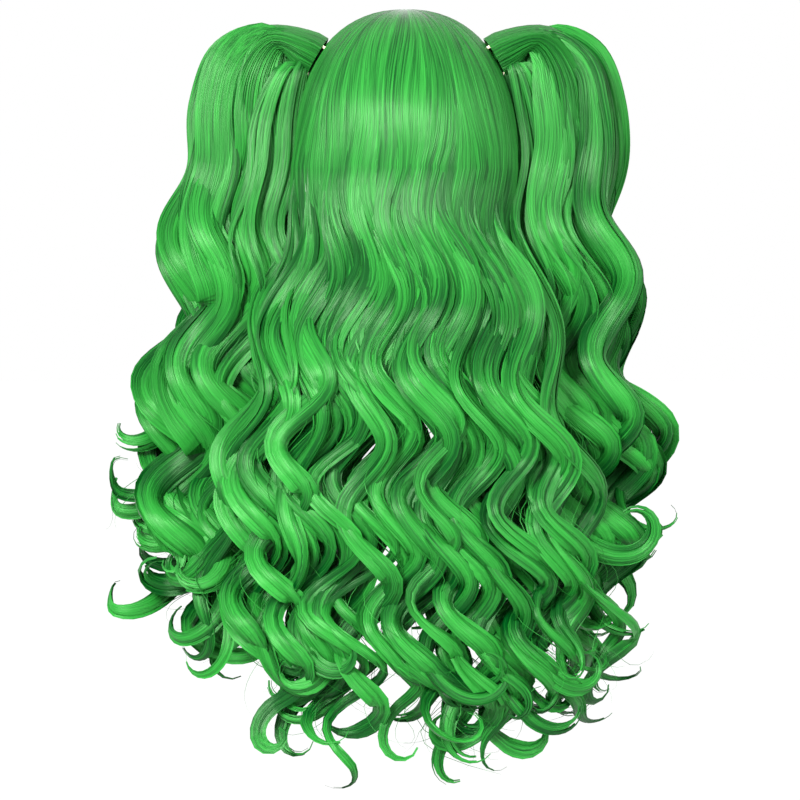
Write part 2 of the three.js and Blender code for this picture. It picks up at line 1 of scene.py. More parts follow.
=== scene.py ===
"""Long curly wig with two clip-on ponytails, in the form it has when worn.

The hair is strands of glossy heat-set fibre: Geometry Nodes carry a flat section along guide
lines, and the guide lines follow the same waves as the solids.
"""

import math

import bpy
import numpy as np
from bpy.props import FloatProperty, FloatVectorProperty, IntProperty, PointerProperty
from bpy.types import Operator, Panel, PropertyGroup
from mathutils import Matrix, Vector


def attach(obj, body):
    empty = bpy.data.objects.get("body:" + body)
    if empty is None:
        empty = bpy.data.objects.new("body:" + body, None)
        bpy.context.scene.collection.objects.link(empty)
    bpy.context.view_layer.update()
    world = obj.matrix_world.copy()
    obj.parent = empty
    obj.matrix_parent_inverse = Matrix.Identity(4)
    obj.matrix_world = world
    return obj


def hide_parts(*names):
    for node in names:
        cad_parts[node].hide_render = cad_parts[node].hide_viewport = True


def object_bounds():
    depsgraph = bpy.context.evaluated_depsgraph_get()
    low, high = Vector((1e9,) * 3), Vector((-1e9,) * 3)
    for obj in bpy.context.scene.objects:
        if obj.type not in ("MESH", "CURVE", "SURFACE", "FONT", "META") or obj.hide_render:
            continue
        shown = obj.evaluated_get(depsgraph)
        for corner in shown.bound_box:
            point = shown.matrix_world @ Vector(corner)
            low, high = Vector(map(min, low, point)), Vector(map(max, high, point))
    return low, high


bl_info = {
    "name": "Ponytail wig",
    "version": (1, 0, 0),
    "blender": (4, 5, 0),
    "location": "3D View > Sidebar > Wig",
    "description": "Dresses the wig's solids in strands of curly hair",
    "category": "Object",
}

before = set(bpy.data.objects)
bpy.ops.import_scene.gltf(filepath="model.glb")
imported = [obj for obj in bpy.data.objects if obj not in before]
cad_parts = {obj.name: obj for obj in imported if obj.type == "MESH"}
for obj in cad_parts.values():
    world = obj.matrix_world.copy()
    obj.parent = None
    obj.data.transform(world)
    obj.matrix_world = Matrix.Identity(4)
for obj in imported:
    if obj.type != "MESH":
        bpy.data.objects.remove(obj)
cad_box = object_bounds()

MM = 0.001

# Sizes of the solids, in millimetres, degrees and shares of a length

HEAD_HALF_WIDTH = 75
HEAD_HALF_LENGTH = 96
HEAD_HEIGHT = 116
HEAD_SQUARENESS = 0.87
CAP_WALL = 1.5
CLEARANCE = 0.3
NAPE_DROP = 152
EAR_DROP = 119
FOREHEAD_DROP = 58
CROWN_HAIR = 10
SIDE_HAIR = 12.5
CROWN_DROP = 110
HAIR_LENGTH = 592
FALL_HALF_WIDTH = 182
FALL_DEPTH = 27
FALL_WRAP = 70
FALL_SETTLE = 200
FALL_SPREAD = 1.15
LOCK_TURN = 0.55
NAPE_DEPTH = 29
NAPE_SETTLE = 90
WEFT_HEIGHT = 58
WEFT_THICKNESS = 6
NAPE_WEFT_THICKNESS = 4.5
LOCK_WIDTH = 38
LOCK_THICKNESS = 19
WAVE_START = 137
WAVE_LENGTH = 135
CURL_LENGTH = 80
WAVE_DECAY = 200
WAVE_SWING = 20
WAVE_DEPTH = 5
CURL_DEPTH = 12
TIP_FLICK = 26
FLICK_START = 0.86
FRINGE_DROP = 112
FRINGE_THICKNESS = 7
PONYTAIL_ROOT_DROP = 27
PONYTAIL_ROOT_AZIMUTH = 93
LEFT_REACH = 207
RIGHT_REACH = 183
PONYTAIL_LENGTH = 535
PONYTAIL_ARCH = 46
PONYTAIL_HALF_DEPTH = 30
ROOT_RADIUS = 17
ROOT_FLATNESS = 0.62
CLIP_HEIGHT = 8
WEFT_HALF_STEP = 8.5

CROWN_INNER = CAP_WALL + CLEARANCE
CHORD_DIP = (HEAD_HALF_LENGTH + SIDE_HAIR) * (1 - math.cos(math.radians(WEFT_HALF_STEP)))
WEFT_INNER = CROWN_INNER + max(SIDE_HAIR - WEFT_THICKNESS, NAPE_WEFT_THICKNESS + CLEARANCE + CHORD_DIP)

# Strands: millimetres, radians and shares. A pair is a range, or a value here and one further on.

# Waves: where they begin, calm and deepen to curls, and how a ringlet's broad side rolls with them
LOCK_END = 1.015
WAVE_RISE = 55
CALM = (0.55, 0.8)
CALM_DROPS = (200, 330)
CURL_SHARES = (0.4, 0.95)
RIBBON_ROLL = 0.7
ROLL_SHARES = (0.2, 0.6)
PONYTAIL_CURL = 0.4
STRAY_ROOM = (18, 9, 12)
STEP = 8

# Hooks at the tips
HOOK_DENSITY = 1.5
HOOK_TIGHTENING = (0.2, 1.8)
HOOK_TURN = 2.6
THIN_HOOK_TURN = 3.6
PONYTAIL_HOOK_TURN = 3.2
HOOK_TURNS = (0.8, 1.5)
HOOK_SAME_WAY = 0.75
HOOK_RADII = (20, 28)

# Ringlets in a lock
RINGLETS = 3
RINGLET_SPREAD = 0.9
RINGLET_DEPTHS = (0.7, -0.5)
RINGLET_SHIFTS = (0.08, 0.2)
RINGLET_SIZES = (0.8, 1.55)
RINGLET_TONES = (0.35, 0.8)
RINGLET_THICKNESS = 0.46
STRAY = (6, 5)
STRAY_SHARES = (0.08, 0.5)
STRAY_QUICKENING = 1.2

# Strands in a ringlet: painted shade makes the inner layer and the edges darker, and painted light makes the
# crests of the waves paler and their hollows darker
STRAND_PLACE = (0.25, 0.75)
ROUNDING = 0.8
ROAM = 0.9
ROAM_RATES = (6, 16)
STRAND_FAN = 1.1
STRAND_COVER = 3.6
STRAND_SIZES = (0.85, 1.25)
TONE_SHIFT = 0.08
INNER_SHADE = 0.12
EDGE_SHADE = 0.42
EDGE = (0.4, 1)
CREST_LIGHT = 0.5

# Single hairs, thicker than real ones so that they show
HAIR_ASIDE = (-1.1, 1.1)
HAIR_DEEP = (-1, 1.3)
HAIR_END = 0.97
HAIR_REACHES = (30, 60)
HAIR_TURNS = (0.6, 2.4)
HAIR_WIDTHS = (0.45, 0.9)
HAIR_TONES = (0.4, 1)

# Combed strands: crown and fringe. A sweep has its degrees, how many go round the crown, and its start.
COMB_PLACE = (0.2, 0.8)
WHORL = 0.004
CROWN_LIFTS = (-0.7, 0.4)
CROWN_FULL = (0.1, 0.8)
CROWN_SWEEPS = ((4.5, 5, 1), (2.4, 9, 2))
CROWN_SHIFT = 0.8
BACK_TO = 72
FRINGE_FROM = 136
RINGLET_AZIMUTH = 11
RUN_ON = (60, 230)
RUN_ON_ASIDE = (-0.9, 0.9)
RUN_ON_EDGE = (0.45, 0.9)
RUN_ON_HEIGHT = 0.38
RUN_ON_CLEARANCE = 2.2
RUN_ON_SETTLE = 130
CROWN_TONES = (0.35, 0.65)
# Painted light on the crown: paler crests, and painted shade in hollows, at the top and between ringlets
CROWN_CREST_LIGHT = 0.3
TOP_SHADE = 0.2
BETWEEN_SHADE = 0.4
CROWN_WIDTH = 7
CROWN_SIZES = (0.7, 1.2)
FRINGE_HALF_ANGLE = 45
FRINGE_WIDTH = 6
FRINGE_SIZES = (0.7, 1.3)

# Ponytail roots: strands all round the clip, and strands that fall beside the crown
ROOT_COUNT = 96
ROOT_RING = (29, 19)
ROOT_CENTRE = (12, -50)
ROOT_WIDTH = 5
BESIDE_COUNT = 48
BESIDE_LENGTHS = (190, 300)
BESIDE_WIDTH = 6
ROOT_SIZES = (0.8, 1.2)

# How much random numbers shorten a line, shift and delay its waves, change their swing and flick its
# tip, with the most that it is shortened and the least swing that it keeps
RINGLET_WANDER = dict(end=0.05, most=0.14, phase=0.04, late=0.2, swing=0.2, least=0.6, flick=0.5)
HAIR_WANDER = dict(end=0.1, most=0.3, phase=0.05, late=0.15, swing=0.2, least=0.0, flick=1.0)

# How falling locks are made: where they start, how deep they lie, how far apart a strand's points
# are, how far the tips turn, and the size of the curls there
BACK_MAKE = dict(start=CROWN_DROP - 12, thickness=LOCK_THICKNESS, step=6, hooks=HOOK_TURN, tight=1)
THIN_MAKE = dict(
    start=CROWN_DROP + 20, thickness=1.7 * LOCK_THICKNESS, step=6.5, hooks=THIN_HOOK_TURN, tight=0.7,
)
NAPE_MAKE = dict(start=CROWN_DROP + 2, thickness=9.5, step=7.5, hooks=HOOK_TURN, tight=1)

# Sides and flatness of a strand's section
LOCK_SECTION = (4, 0.34)
CROWN_SECTION = (4, 0.2)
FRINGE_SECTION = (4, 0.35)
HAIR_SECTION = (3, 0.6)

SEEDS = dict(crown=11, back=23, thin=31, front=37, ponytails=53)


def named(keys, *rows):
    """A table as one dict a row."""
    return [dict(zip(keys.split(), row)) for row in rows]


# Locks, as in the solids: azimuth in degrees from the back, tip_x, tip_y and tip_drop as shares,
# phase in waves, width as a share of LOCK_WIDTH, and how far the tip flicks sideways.

BACK_LOCKS = named(
    "azimuth tip_x tip_drop phase width flick",
    (-66, -0.83, 0.86, 0.34, 0.96, -0.4),
    (-50, -0.62, 0.91, 0.27, 1.05, 1.0),
    (-34, -0.43, 0.955, 0.18, 0.95, 0.8),
    (-17, -0.27, 0.985, 0.10, 0.95, -0.7),
    (0, 0.0, 0.96, 0.0, 1.0, 1.0),
    (17, 0.21, 1.0, 0.0, 0.95, 0.8),
    (34, 0.42, 0.99, -0.08, 0.95, 1.0),
    (50, 0.62, 0.96, -0.14, 1.05, 0.9),
    (66, 0.80, 0.90, -0.22, 0.96, 0.5),
)

NAPE_LOCKS = named(
    "azimuth tip_x tip_drop phase width flick",
    (-42, -0.46, 0.72, 0.30, 0.7, 0.6),
    (-18, -0.22, 0.80, 0.12, 0.74, -0.6),
    (18, 0.24, 0.82, 0.0, 0.74, 0.8),
    (38, 0.44, 0.74, -0.06, 0.66, 0.5),
)

SIDE_LOCKS = named(
    "azimuth tip_x tip_y tip_drop phase width flick",
    (117, 0.54, 0.80, 0.80, -0.1, 0.80, 0.6),
    (131, 0.40, 0.98, 0.76, -0.2, 0.80, -0.4),
)

PONYTAIL_LOCKS = named(
    "outward forward tip_x tip_y tip_drop phase width flick",
    (1.0, 0.05, 0.97, -0.24, 0.79, -0.12, 0.92, 0.7),
    (0.62, -0.8, 0.83, -0.50, 0.93, -0.02, 1.1, 0.7),
    (0.12, -0.62, 0.66, -0.34, 1.0, -0.08, 0.95, -0.8),
    (0.66, 0.85, 0.80, 0.14, 0.86, -0.2, 1.0, 0.9),
    (0.3, 0.2, 0.64, 0.04, 0.84, 0.05, 0.9, -0.6),
)

# mid, arch, forward, lean, lift and drop of the ponytail's way out of its root
PONYTAIL_WAY = [
    (0, 0, 0.35, 0, 0, 0),
    (0.41, 0.36, 0.65, 0, 0.2, -0.002),
    (0.65, 0.8, 0.85, 0, 0.12, 0.022),
    (0.76, 1.04, 1, 0, 0.03, 0.084),
    (0.88, 1.07, 1, -0.13, 0, 0.183),
]

# Knots of the strands over a clip, from the end of its root: outward, ahead and up. Outward and up
# also have what they gain at the foot of the clip's ring and lose at its top.
ROOT_ARCH = [((16, -12), 24, (4, -12)), ((34, -30), 28, (-22, 4))]

# How wide a lock's bundle of strands is, and how thick one strand is, along their way
BUNDLE = [(0, 0.3), (0.15, 0.9), (0.35, 1.0), (0.85, 1.0), (1, 0.9)]
BUNDLE_DEPTH = [(0, 0.0), (0.2, 0.2), (0.45, 1.0), (1, 1.1)]
PONYTAIL_BUNDLE = [(0, 0.36), (0.06, 0.7), (0.16, 1.25), (0.4, 1.2), (0.6, 1.05), (1, 1.0)]
CLUMP = [(0, 0.15), (0.2, 1.1), (0.35, 0.95), (0.5, 0.75), (0.8, 0.66), (0.93, 0.42), (1, 0.1)]
STRAND = [(0, 0.15), (0.16, 1.0), (0.82, 1.0), (0.93, 0.8), (1, 0.15)]
ROOT_STRAND = [(0, 0.8), (0.1, 1.0), (0.6, 1.0), (1, 0.05)]
PONYTAIL_CLUMP = [(0, 0.3), (0.12, 0.5), (0.3, 1.05), (0.5, 0.95), (0.8, 0.75), (0.93, 0.45), (1, 0.1)]
CROWN_STRAND = [(0, 0.08), (0.12, 0.5), (0.4, 1.0), (0.6, 1.0), (0.8, 0.7), (1, 0.05)]
CROWN_SHORT_STRAND = [(0, 0.08), (0.12, 0.5), (0.4, 1.0), (0.95, 1.0), (1, 0.3)]


# Small helpers


def linear(hex_colour):
    """A colour written as sRGB hex, as linear values with alpha."""
    values = [int(hex_colour[i:i + 2], 16) / 255 for i in (1, 3, 5)]
    return tuple(v / 12.92 if v <= 0.04045 else ((v + 0.055) / 1.055) ** 2.4 for v in values) + (1.0,)


def smooth(x, low, high):
    t = np.clip((x - low) / (high - low), 0, 1)
    return t * t * (3 - 2 * t)


def mix(a, b, t):
    return a + (b - a) * t


def table(rows, place):
    """The value of a table of (place, value) at each place, eased between its rows."""
    places, values = np.array(rows, float).T
    i = np.clip(np.searchsorted(places, place, side="right") - 1, 0, len(rows) - 2)
    return mix(values[i], values[i + 1], smooth(place, places[i], places[i + 1]))


def unit(vectors):
    return vectors / np.linalg.norm(vectors, axis=-1, keepdims=True)


def curve_through(knots, count):
    """Evenly spaced points on a smooth curve through a few knots."""
    knots = np.asarray(knots, float)
    padded = np.vstack([2 * knots[0] - knots[1], knots, 2 * knots[-1] - knots[-2]])
    dense = []
    for a, b, c, d in zip(padded, padded[1:], padded[2:], padded[3:]):
        steps = np.sqrt([np.linalg.norm(b - a), np.linalg.norm(c - b), np.linalg.norm(d - c)])
        t0, t1, t2, t3 = 0, steps[0], steps[0] + steps[1], steps.sum()
        t = np.linspace(t1, t2, 24, endpoint=False)[:, None]
        a1 = (t1 - t) / (t1 - t0) * a + (t - t0) / (t1 - t0) * b
        a2 = (t2 - t) / (t2 - t1) * b + (t - t1) / (t2 - t1) * c
        a3 = (t3 - t) / (t3 - t2) * c + (t - t2) / (t3 - t2) * d
        b1 = (t2 - t) / (t2 - t0) * a1 + (t - t0) / (t2 - t0) * a2
        b2 = (t3 - t) / (t3 - t1) * a2 + (t - t1) / (t3 - t1) * a3
        dense.append((t2 - t) / (t2 - t1) * b1 + (t - t1) / (t2 - t1) * b2)
    dense = np.vstack(dense + [knots[-1:]])
    length = np.concatenate([[0], np.cumsum(np.linalg.norm(np.diff(dense, axis=0), axis=1))])
    even = np.linspace(0, length[-1], count)
    return np.column_stack([np.interp(even, length, dense[:, i]) for i in range(3)])


# The form of the cap and the waves, as in the solids


def head_point(azimuth, level, offset):
    a, l = np.radians(azimuth), np.radians(level)
    out = np.sin(l) ** HEAD_SQUARENESS
    up = np.sign(np.cos(l)) * np.abs(np.cos(l)) ** HEAD_SQUARENESS
    return np.stack(np.broadcast_arrays(
        (HEAD_HALF_WIDTH + offset) * out * np.sin(a),
        -(HEAD_HALF_LENGTH + offset) * out * np.cos(a),
        -HEAD_HEIGHT + (HEAD_HEIGHT + offset) * up,
    ), axis=-1)


def level_at(drop, offset):
    up = (HEAD_HEIGHT - np.asarray(drop, float)) / (HEAD_HEIGHT + offset)
    return np.degrees(np.arccos(np.sign(up) * np.minimum(np.abs(up), 1) ** (1 / HEAD_SQUARENESS)))


def hang_point(azimuth, drop, offset):
    points = head_point(azimuth, level_at(np.minimum(drop, HEAD_HEIGHT), offset), offset)
    points[..., 2] = -np.asarray(drop, float)
    return points


def drop_round(azimuth, back, side, front):
    c = np.cos(np.radians(azimuth))
    return side + np.where(c > 0, back - side, front - side) * c * c


def crown_edge(azimuth):
    return drop_round(azimuth, CROWN_DROP, CROWN_DROP, FOREHEAD_DROP)


def waves_at(drop):
    below = np.maximum(drop - WAVE_START, -WAVE_START)
    stretch = CURL_LENGTH * np.exp(below / WAVE_DECAY) + WAVE_LENGTH - CURL_LENGTH
    return WAVE_DECAY / CURL_LENGTH * np.log(stretch / WAVE_LENGTH)


def waved(points, along, phase, flick, side, facing, swing=1.0):
    """Lays the waves over a falling line. Returns it with the way its broad side faces, which rolls
    to and fro with the waves."""
    drop = -points[:, 2]
    angle = 2 * math.pi * (waves_at(drop) + phase)
    share = smooth(drop, CROWN_DROP - WAVE_RISE, WAVE_START + WEFT_HEIGHT) * swing
    calm = mix(*CALM, smooth(drop, *CALM_DROPS))
    depth = share * mix(WAVE_DEPTH, CURL_DEPTH, smooth(along, *CURL_SHARES))
    swept = TIP_FLICK * flick * smooth(along, FLICK_START, 1) ** 2
    sideways = swept - WAVE_SWING * share * calm * np.cos(angle)
    roll = (RIBBON_ROLL * smooth(along, *ROLL_SHARES) * np.sin(angle + 0.6))[:, None]
    broad = np.cos(roll) * facing + np.sin(roll) * side
    return points + sideways[:, None] * side + (depth * np.sin(angle))[:, None] * facing, broad


def turned(azimuth):
    turn = math.radians(azimuth)
    facing = np.array([math.sin(turn), -math.cos(turn), 0.0])
    return facing, np.array([math.cos(turn), math.sin(turn), 0.0])


BACK_LAYER = dict(
    root_offset=WEFT_INNER + WEFT_THICKNESS / 2, stand_off=FALL_DEPTH, start=EAR_DROP, settle=FALL_SETTLE,
)
NAPE_LAYER = dict(
    root_offset=CROWN_INNER + NAPE_WEFT_THICKNESS / 2, stand_off=-NAPE_DEPTH, start=NAPE_DROP,
    settle=NAPE_SETTLE,
)


def fall_way(row, drop, layer, phase=0.0, swing=1.0, flick=0.0):
    """Points of a falling lock at the given drops, how far along its length each is, and where it faces."""
    points = hang_point(row["azimuth"], drop, layer["root_offset"])
    spread = np.maximum(drop - EAR_DROP, 0) / (row["tip_drop"] * HAIR_LENGTH - EAR_DROP)
    points[:, 0] = mix(points[:, 0], row["tip_x"] * FALL_HALF_WIDTH, spread ** FALL_SPREAD)
    out = points[:, 0] / FALL_HALF_WIDTH
    depth = -HEAD_HALF_LENGTH - layer["stand_off"] + FALL_WRAP * out * out
    settled = smooth(drop, layer["start"], layer["start"] + layer["settle"])
    points[:, 1] = mix(points[:, 1], depth, settled)
    facing, side = turned(LOCK_TURN * row["azimuth"])
    points, broad = waved(points, spread, row["phase"] + phase, row["flick"] + flick, side, facing, swing)
    return points, spread, broad


# Strands. One is a dict of points, radius, facing, along and tone; for ringlets and crown strands the tone
# also holds painted highlight and painted shade.


def within(points):
    """Keeps stray hair close to the solids' box."""
    low, high = (np.array(corner) / MM for corner in cad_box)
    over, under = np.maximum(points - high, 0), np.maximum(low - points, 0)
    room = np.array(STRAY_ROOM)
    return np.clip(points, low, high) + room * over / (room + over) - room * under / (room + under)


def strand(points, width, facing, tone, outline=STRAND):
    points = within(points)
    steps = np.linalg.norm(np.diff(points, axis=0), axis=1)
    along = np.concatenate([[0], np.cumsum(steps)])
    radius = 0.5 * width * table(outline, along / along[-1])
    facing = np.broadcast_to(facing, points.shape)
    return dict(points=points, radius=radius, facing=facing, along=along, tone=tone)


def hooked(points, along, broad, side, reach, turn):
    """Winds the last stretch of a line round into a hook: reach is its length, turn how far it turns.
    The hook gets more points than the line had there."""
    steps = np.linalg.norm(np.diff(points, axis=0), axis=1)
    left = np.concatenate([np.cumsum(steps[::-1])[::-1], [0]])
    first = int(np.argmax(left < reach))
    if first < 2 or first > len(points) - 3:
        return points, along, broad
    count = int(HOOK_DENSITY * (len(points) - first))
    angle = (turn * np.cumsum(np.linspace(*HOOK_TIGHTENING, count)) / count)[:, None]
    ahead = unit(points[first] - points[first - 1])
    aside = unit(side - (side @ ahead) * ahead)
    axis = np.cross(ahead, aside)
    moves = left[first] / count * (np.cos(angle) * ahead + np.sin(angle) * aside)
    held = unit(broad[first] - (broad[first] @ ahead) * ahead)
    turned_with = (
        np.cos(angle) * held + np.sin(angle) * np.cross(axis, held)
        + (1 - np.cos(angle)) * (axis @ held) * axis
    )
    return (
        np.vstack([points[:first], points[first - 1] + np.cumsum(moves, axis=0)]),
        np.concatenate([along[:first], np.linspace(along[first], along[-1], count)]),
        np.vstack([broad[:first], turned_with]),
    )


def framed(points, facing):
    """The directions across a line of points and out of its broad side, at each point."""
    ahead = unit(np.gradient(points, axis=0))
    across = unit(np.cross(np.broadcast_to(facing, points.shape), ahead))
    return across, np.cross(ahead, across)


def ringlets(rng, count, broad=1.0, wild=1.0):
    """How each ringlet of a lock strays from it: its place in the lock, and its own wander."""
    aside, deep = RINGLET_SHIFTS
    return [
        dict(
            u=(2 * (c + 0.5) / count - 1) * RINGLET_SPREAD + rng.normal(0, aside),
            v=RINGLET_DEPTHS[c % 2] + rng.normal(0, deep),
            wander=rng.normal(0, wild, 5),
            slow=rng.uniform(size=(2, 2)),
            size=rng.uniform(*RINGLET_SIZES) * broad / count,
            tone=rng.uniform(*RINGLET_TONES),
        )
        for c in range(count)
    ]


def wandering(way, end, wander, much):
    """Follows a way with a wander of its own, which is five random numbers."""
    return way(
        end=end - min(abs(much["end"] * wander[0]), much["most"]),
        phase=much["phase"] * wander[1],
        late=much["late"] * wander[2],
        swing=max(1 + much["swing"] * wander[3], much["least"]),
        flick=much["flick"] * wander[4],
    )


def form_of(row, deep, facing, side, gather=BUNDLE):
    """What a lock's ringlets share: half its width and thickness, how it faces and how it gathers."""
    return dict(wide=0.5 * row["width"] * LOCK_WIDTH, deep=deep, facing=facing, side=side, gather=gather)


def shifted(points, along, form, u, v, stray=(0, 0)):
    """Moves a line from the middle of a lock to its place in it, with its own straying."""
    aside = u * form["wide"] * table(form["gather"], along) + stray[0]
    deep = v * form["deep"] * table(BUNDLE_DEPTH, along) + stray[1]
    return points + aside[:, None] * form["side"] + deep[:, None] * form["facing"]


def ringlet_line(ringlet, way, form):
    """The line of a ringlet, how far along it each point is, and where it faces."""
    points, along, broad = wandering(way, LOCK_END, ringlet["wander"], RINGLET_WANDER)
    # A slow straying to and fro, with none at the root
    grown = smooth(along, *STRAY_SHARES)
    stray = [
        far * (grown * np.sin(2 * math.pi * ((1 + STRAY_QUICKENING * a) * along + b)))
        for far, (a, b) in zip(STRAY, ringlet["slow"])
    ]
    return shifted(points, along, form, ringlet["u"], ringlet["v"], stray), along, broad


def standing_out(points, facing):
    """How far each point of a line stands out of its own run, from -1 in a hollow to 1 on a crest."""
    depth = points @ facing
    span = min(17, len(points) // 2 * 2 - 1)
    padded = np.pad(depth, span // 2, mode="edge")
    return np.clip((depth - np.convolve(padded, np.ones(span) / span, "valid")) / 9, -1, 1)


def clump(rng, points, along, facing, outwards, half_width, half_depth, count, tone, held):
    """A ringlet: a thick ribbon of strands in two layers, two thirds of them on its outer side."""
    across, out = framed(points, facing)
    hold = table(held, along)
    lift = hold * half_depth * table(BUNDLE_DEPTH, along)
    inner = count // 3
    outer = count - inner
    # Painted light: paler where the ringlet stands out on a crest, painted shade where it lies in a hollow
    crest = CREST_LIGHT * standing_out(points, outwards)
    strands = []
    for k in range(count):
        layer, place, many = (1, k, outer) if k < outer else (-1, k - outer, inner)
        u = 2 * (place + rng.uniform(*STRAND_PLACE)) / many - 1
        v = layer * math.sqrt(1 - ROUNDING * u * u)
        roam = ROAM * np.sin(np.linspace(0, rng.uniform(*ROAM_RATES), len(points)) + rng.uniform(0, 6))
        shift = hold * u * half_width + roam * rng.uniform(0.3, 1.0)
        line = points + shift[:, None] * across + (v * lift)[:, None] * out
        short = len(points) - int(rng.integers(0, 7))
        broad = unit(layer * out + STRAND_FAN * u * across)
        size = STRAND_COVER * half_width / many * rng.uniform(*STRAND_SIZES)
        # Painted shade darkens the inner layer, and the edges where one ringlet meets the next
        shade = tone + rng.normal(0, TONE_SHIFT) + crest - (INNER_SHADE if layer < 0 else 0)
        shade = np.clip(shade - EDGE_SHADE * smooth(abs(u), *EDGE), 0, 1)
        strands.append(strand(line[:short], size, broad[:short], shade[:short]))
    return strands


def lock(rng, plan, way, form, count, hook, held=CLUMP, tight=1):
    """A lock of the solids, split into ringlets that go their own ways and end in hooks."""
    strands = []
    for ringlet in plan:
        points, along, broad = ringlet_line(ringlet, way, form)
        bend = hook * rng.uniform(*HOOK_TURNS) * (1 if rng.uniform() < HOOK_SAME_WAY else -1)
        reach = tight * rng.uniform(*HOOK_RADII) * abs(bend)
        side = form["side"] * math.copysign(1, bend)
        points, along, broad = hooked(points, along, broad, side, reach, abs(bend))
        ring = ringlet["size"] * form["wide"]
        thick, tone = RINGLET_THICKNESS * ring, ringlet["tone"] + 0.06
        strands += clump(rng, points, along, broad, form["facing"], ring, thick, count, tone, held)
    return strands


def loose(rng, way, form, count):
    """Single hairs that stray from a lock."""
    strands = []
    for _ in range(count):
        u, v = rng.uniform(*HAIR_ASIDE), rng.uniform(*HAIR_DEEP)
        wander = rng.normal(0, 1, 5)
        points, along, broad = wandering(way, HAIR_END, wander, HAIR_WANDER)
        points = shifted(points, along, form, u, v)
        side = form["side"] * math.copysign(1, wander[4])
        reach, turn = rng.uniform(*HAIR_REACHES), rng.uniform(*HAIR_TURNS)
        points, _, broad = hooked(points, along, broad, side, reach, turn)
        strands.append(strand(points, rng.uniform(*HAIR_WIDTHS), broad, rng.uniform(*HAIR_TONES)))
    return strands


def rings(length, step):
    return max(int(length / step), 8)


def fall_way_of(row, layer, start, step):
    """The way of a falling lock, as a function of how a ringlet or strand strays from it."""
    tip = row["tip_drop"] * HAIR_LENGTH

    def way(end, phase, late, swing, flick):
        drop = np.linspace(start, mix(start, tip, end), rings(tip - start, step))
        along = smooth(drop, CROWN_DROP, tip)
        return fall_way(row, drop, layer, phase + late * along, 1 + (swing - 1) * along, flick)

    return way


def line_way_of(row, hand, base, facing, side, curl=0.0):
    """The way of a lock along its own line of points, as fall_way_of gives it for a falling lock."""

    def way(end, phase, late, swing, flick):
        points = base[: int(len(base) * min(end, 1))]
        along = np.linspace(0, min(end, 1), len(points))
        phases = row["phase"] + phase + late * along
        flicked = hand * (row["flick"] + flick)
        points, broad = waved(points, along, phases, flicked, side, facing, 1 + (swing - 1 + curl) * along)
        return points, along, broad

    return way


def fall_form(row, deep):
    return form_of(row, deep, *turned(LOCK_TURN * row["azimuth"]))


def fall_locks(rng, rows, plans, layer, count, start, thickness, step, hooks, tight):
    strands = []
    for row, plan in zip(rows, plans):
        hook = math.copysign(hooks, row["flick"])
        way = fall_way_of(row, layer, start, step)
        strands += lock(rng, plan, way, fall_form(row, 0.5 * thickness), count, hook, tight=tight)
    return strands


def back_plans():
    """The ringlets of the back, which the crown strands run on into."""
    rng = np.random.default_rng(SEEDS["back"])
    return [ringlets(rng, RINGLETS) for _ in BACK_LOCKS]


def back_strands(rng, count):
    return fall_locks(rng, BACK_LOCKS, back_plans(), BACK_LAYER, count, **BACK_MAKE)


def back_thin_ringlets(rng, count):
    """Thinner ringlets that work loose from the locks and fill the gaps between them."""
    plans = [ringlets(rng, RINGLETS, broad=0.55, wild=1.2) for _ in BACK_LOCKS]
    return fall_locks(rng, BACK_LOCKS, plans, BACK_LAYER, count, **THIN_MAKE)


def back_loose_strands(rng, count):
    strands = []
    for row in BACK_LOCKS:
        way = fall_way_of(row, BACK_LAYER, CROWN_DROP + 50, STEP)
        strands += loose(rng, way, fall_form(row, 0.6 * LOCK_THICKNESS), count)
    return strands


def nape_strands(rng, count):
    plans = [ringlets(rng, RINGLETS) for _ in NAPE_LOCKS]
    return fall_locks(rng, NAPE_LOCKS, plans, NAPE_LAYER, count, **NAPE_MAKE)


def back_ringlet_lines():
    """The ringlets of the back as lines that the combed strands of the crown follow."""
    lines = []
    for row, plan in zip(BACK_LOCKS, back_plans()):
        form = fall_form(row, 0.5 * LOCK_THICKNESS)
        way = fall_way_of(row, BACK_LAYER, CROWN_DROP + 3, STEP)
        for ringlet in plan:
            line, along, _ = ringlet_line(ringlet, way, form)
            azimuth = row["azimuth"] + RINGLET_AZIMUTH * ringlet["u"]
            phase = row["phase"] + RINGLET_WANDER["phase"] * ringlet["wander"][1]
            lines.append((azimuth, line, along, form, ringlet["size"] * form["wide"], phase))
    return lines


def run_on(rng, lines, azimuth, points, lift):
    """Leads a combed strand on over the nearest ringlet. Returns it, and how near that one's edge it is."""
    _, line, along, form, ring, phase = min(lines, key=lambda item: abs(item[0] - azimuth))
    facing, side = form["facing"], form["side"]
    kept = int(rng.uniform(*RUN_ON) / STEP)
    line, along = line[:kept], along[:kept]
    u = rng.uniform(*RUN_ON_ASIDE)
    over = RUN_ON_HEIGHT * ring * table(BUNDLE_DEPTH, along) * math.sqrt(1 - ROUNDING * u * u)
    over = over + RUN_ON_CLEARANCE + lift
    settled = line + (u * ring * table(CLUMP, along))[:, None] * side + over[:, None] * facing
    points, _ = waved(points, 0, phase, 0, side, facing)
    started = points[-1] - line[0]
    gone = smooth(-line[:, 2], CROWN_DROP, CROWN_DROP + RUN_ON_SETTLE)[:, None]
    low = mix(line + started * [1, 1, 0], settled, gone)
    return np.vstack([points, low]), smooth(abs(u), *RUN_ON_EDGE)


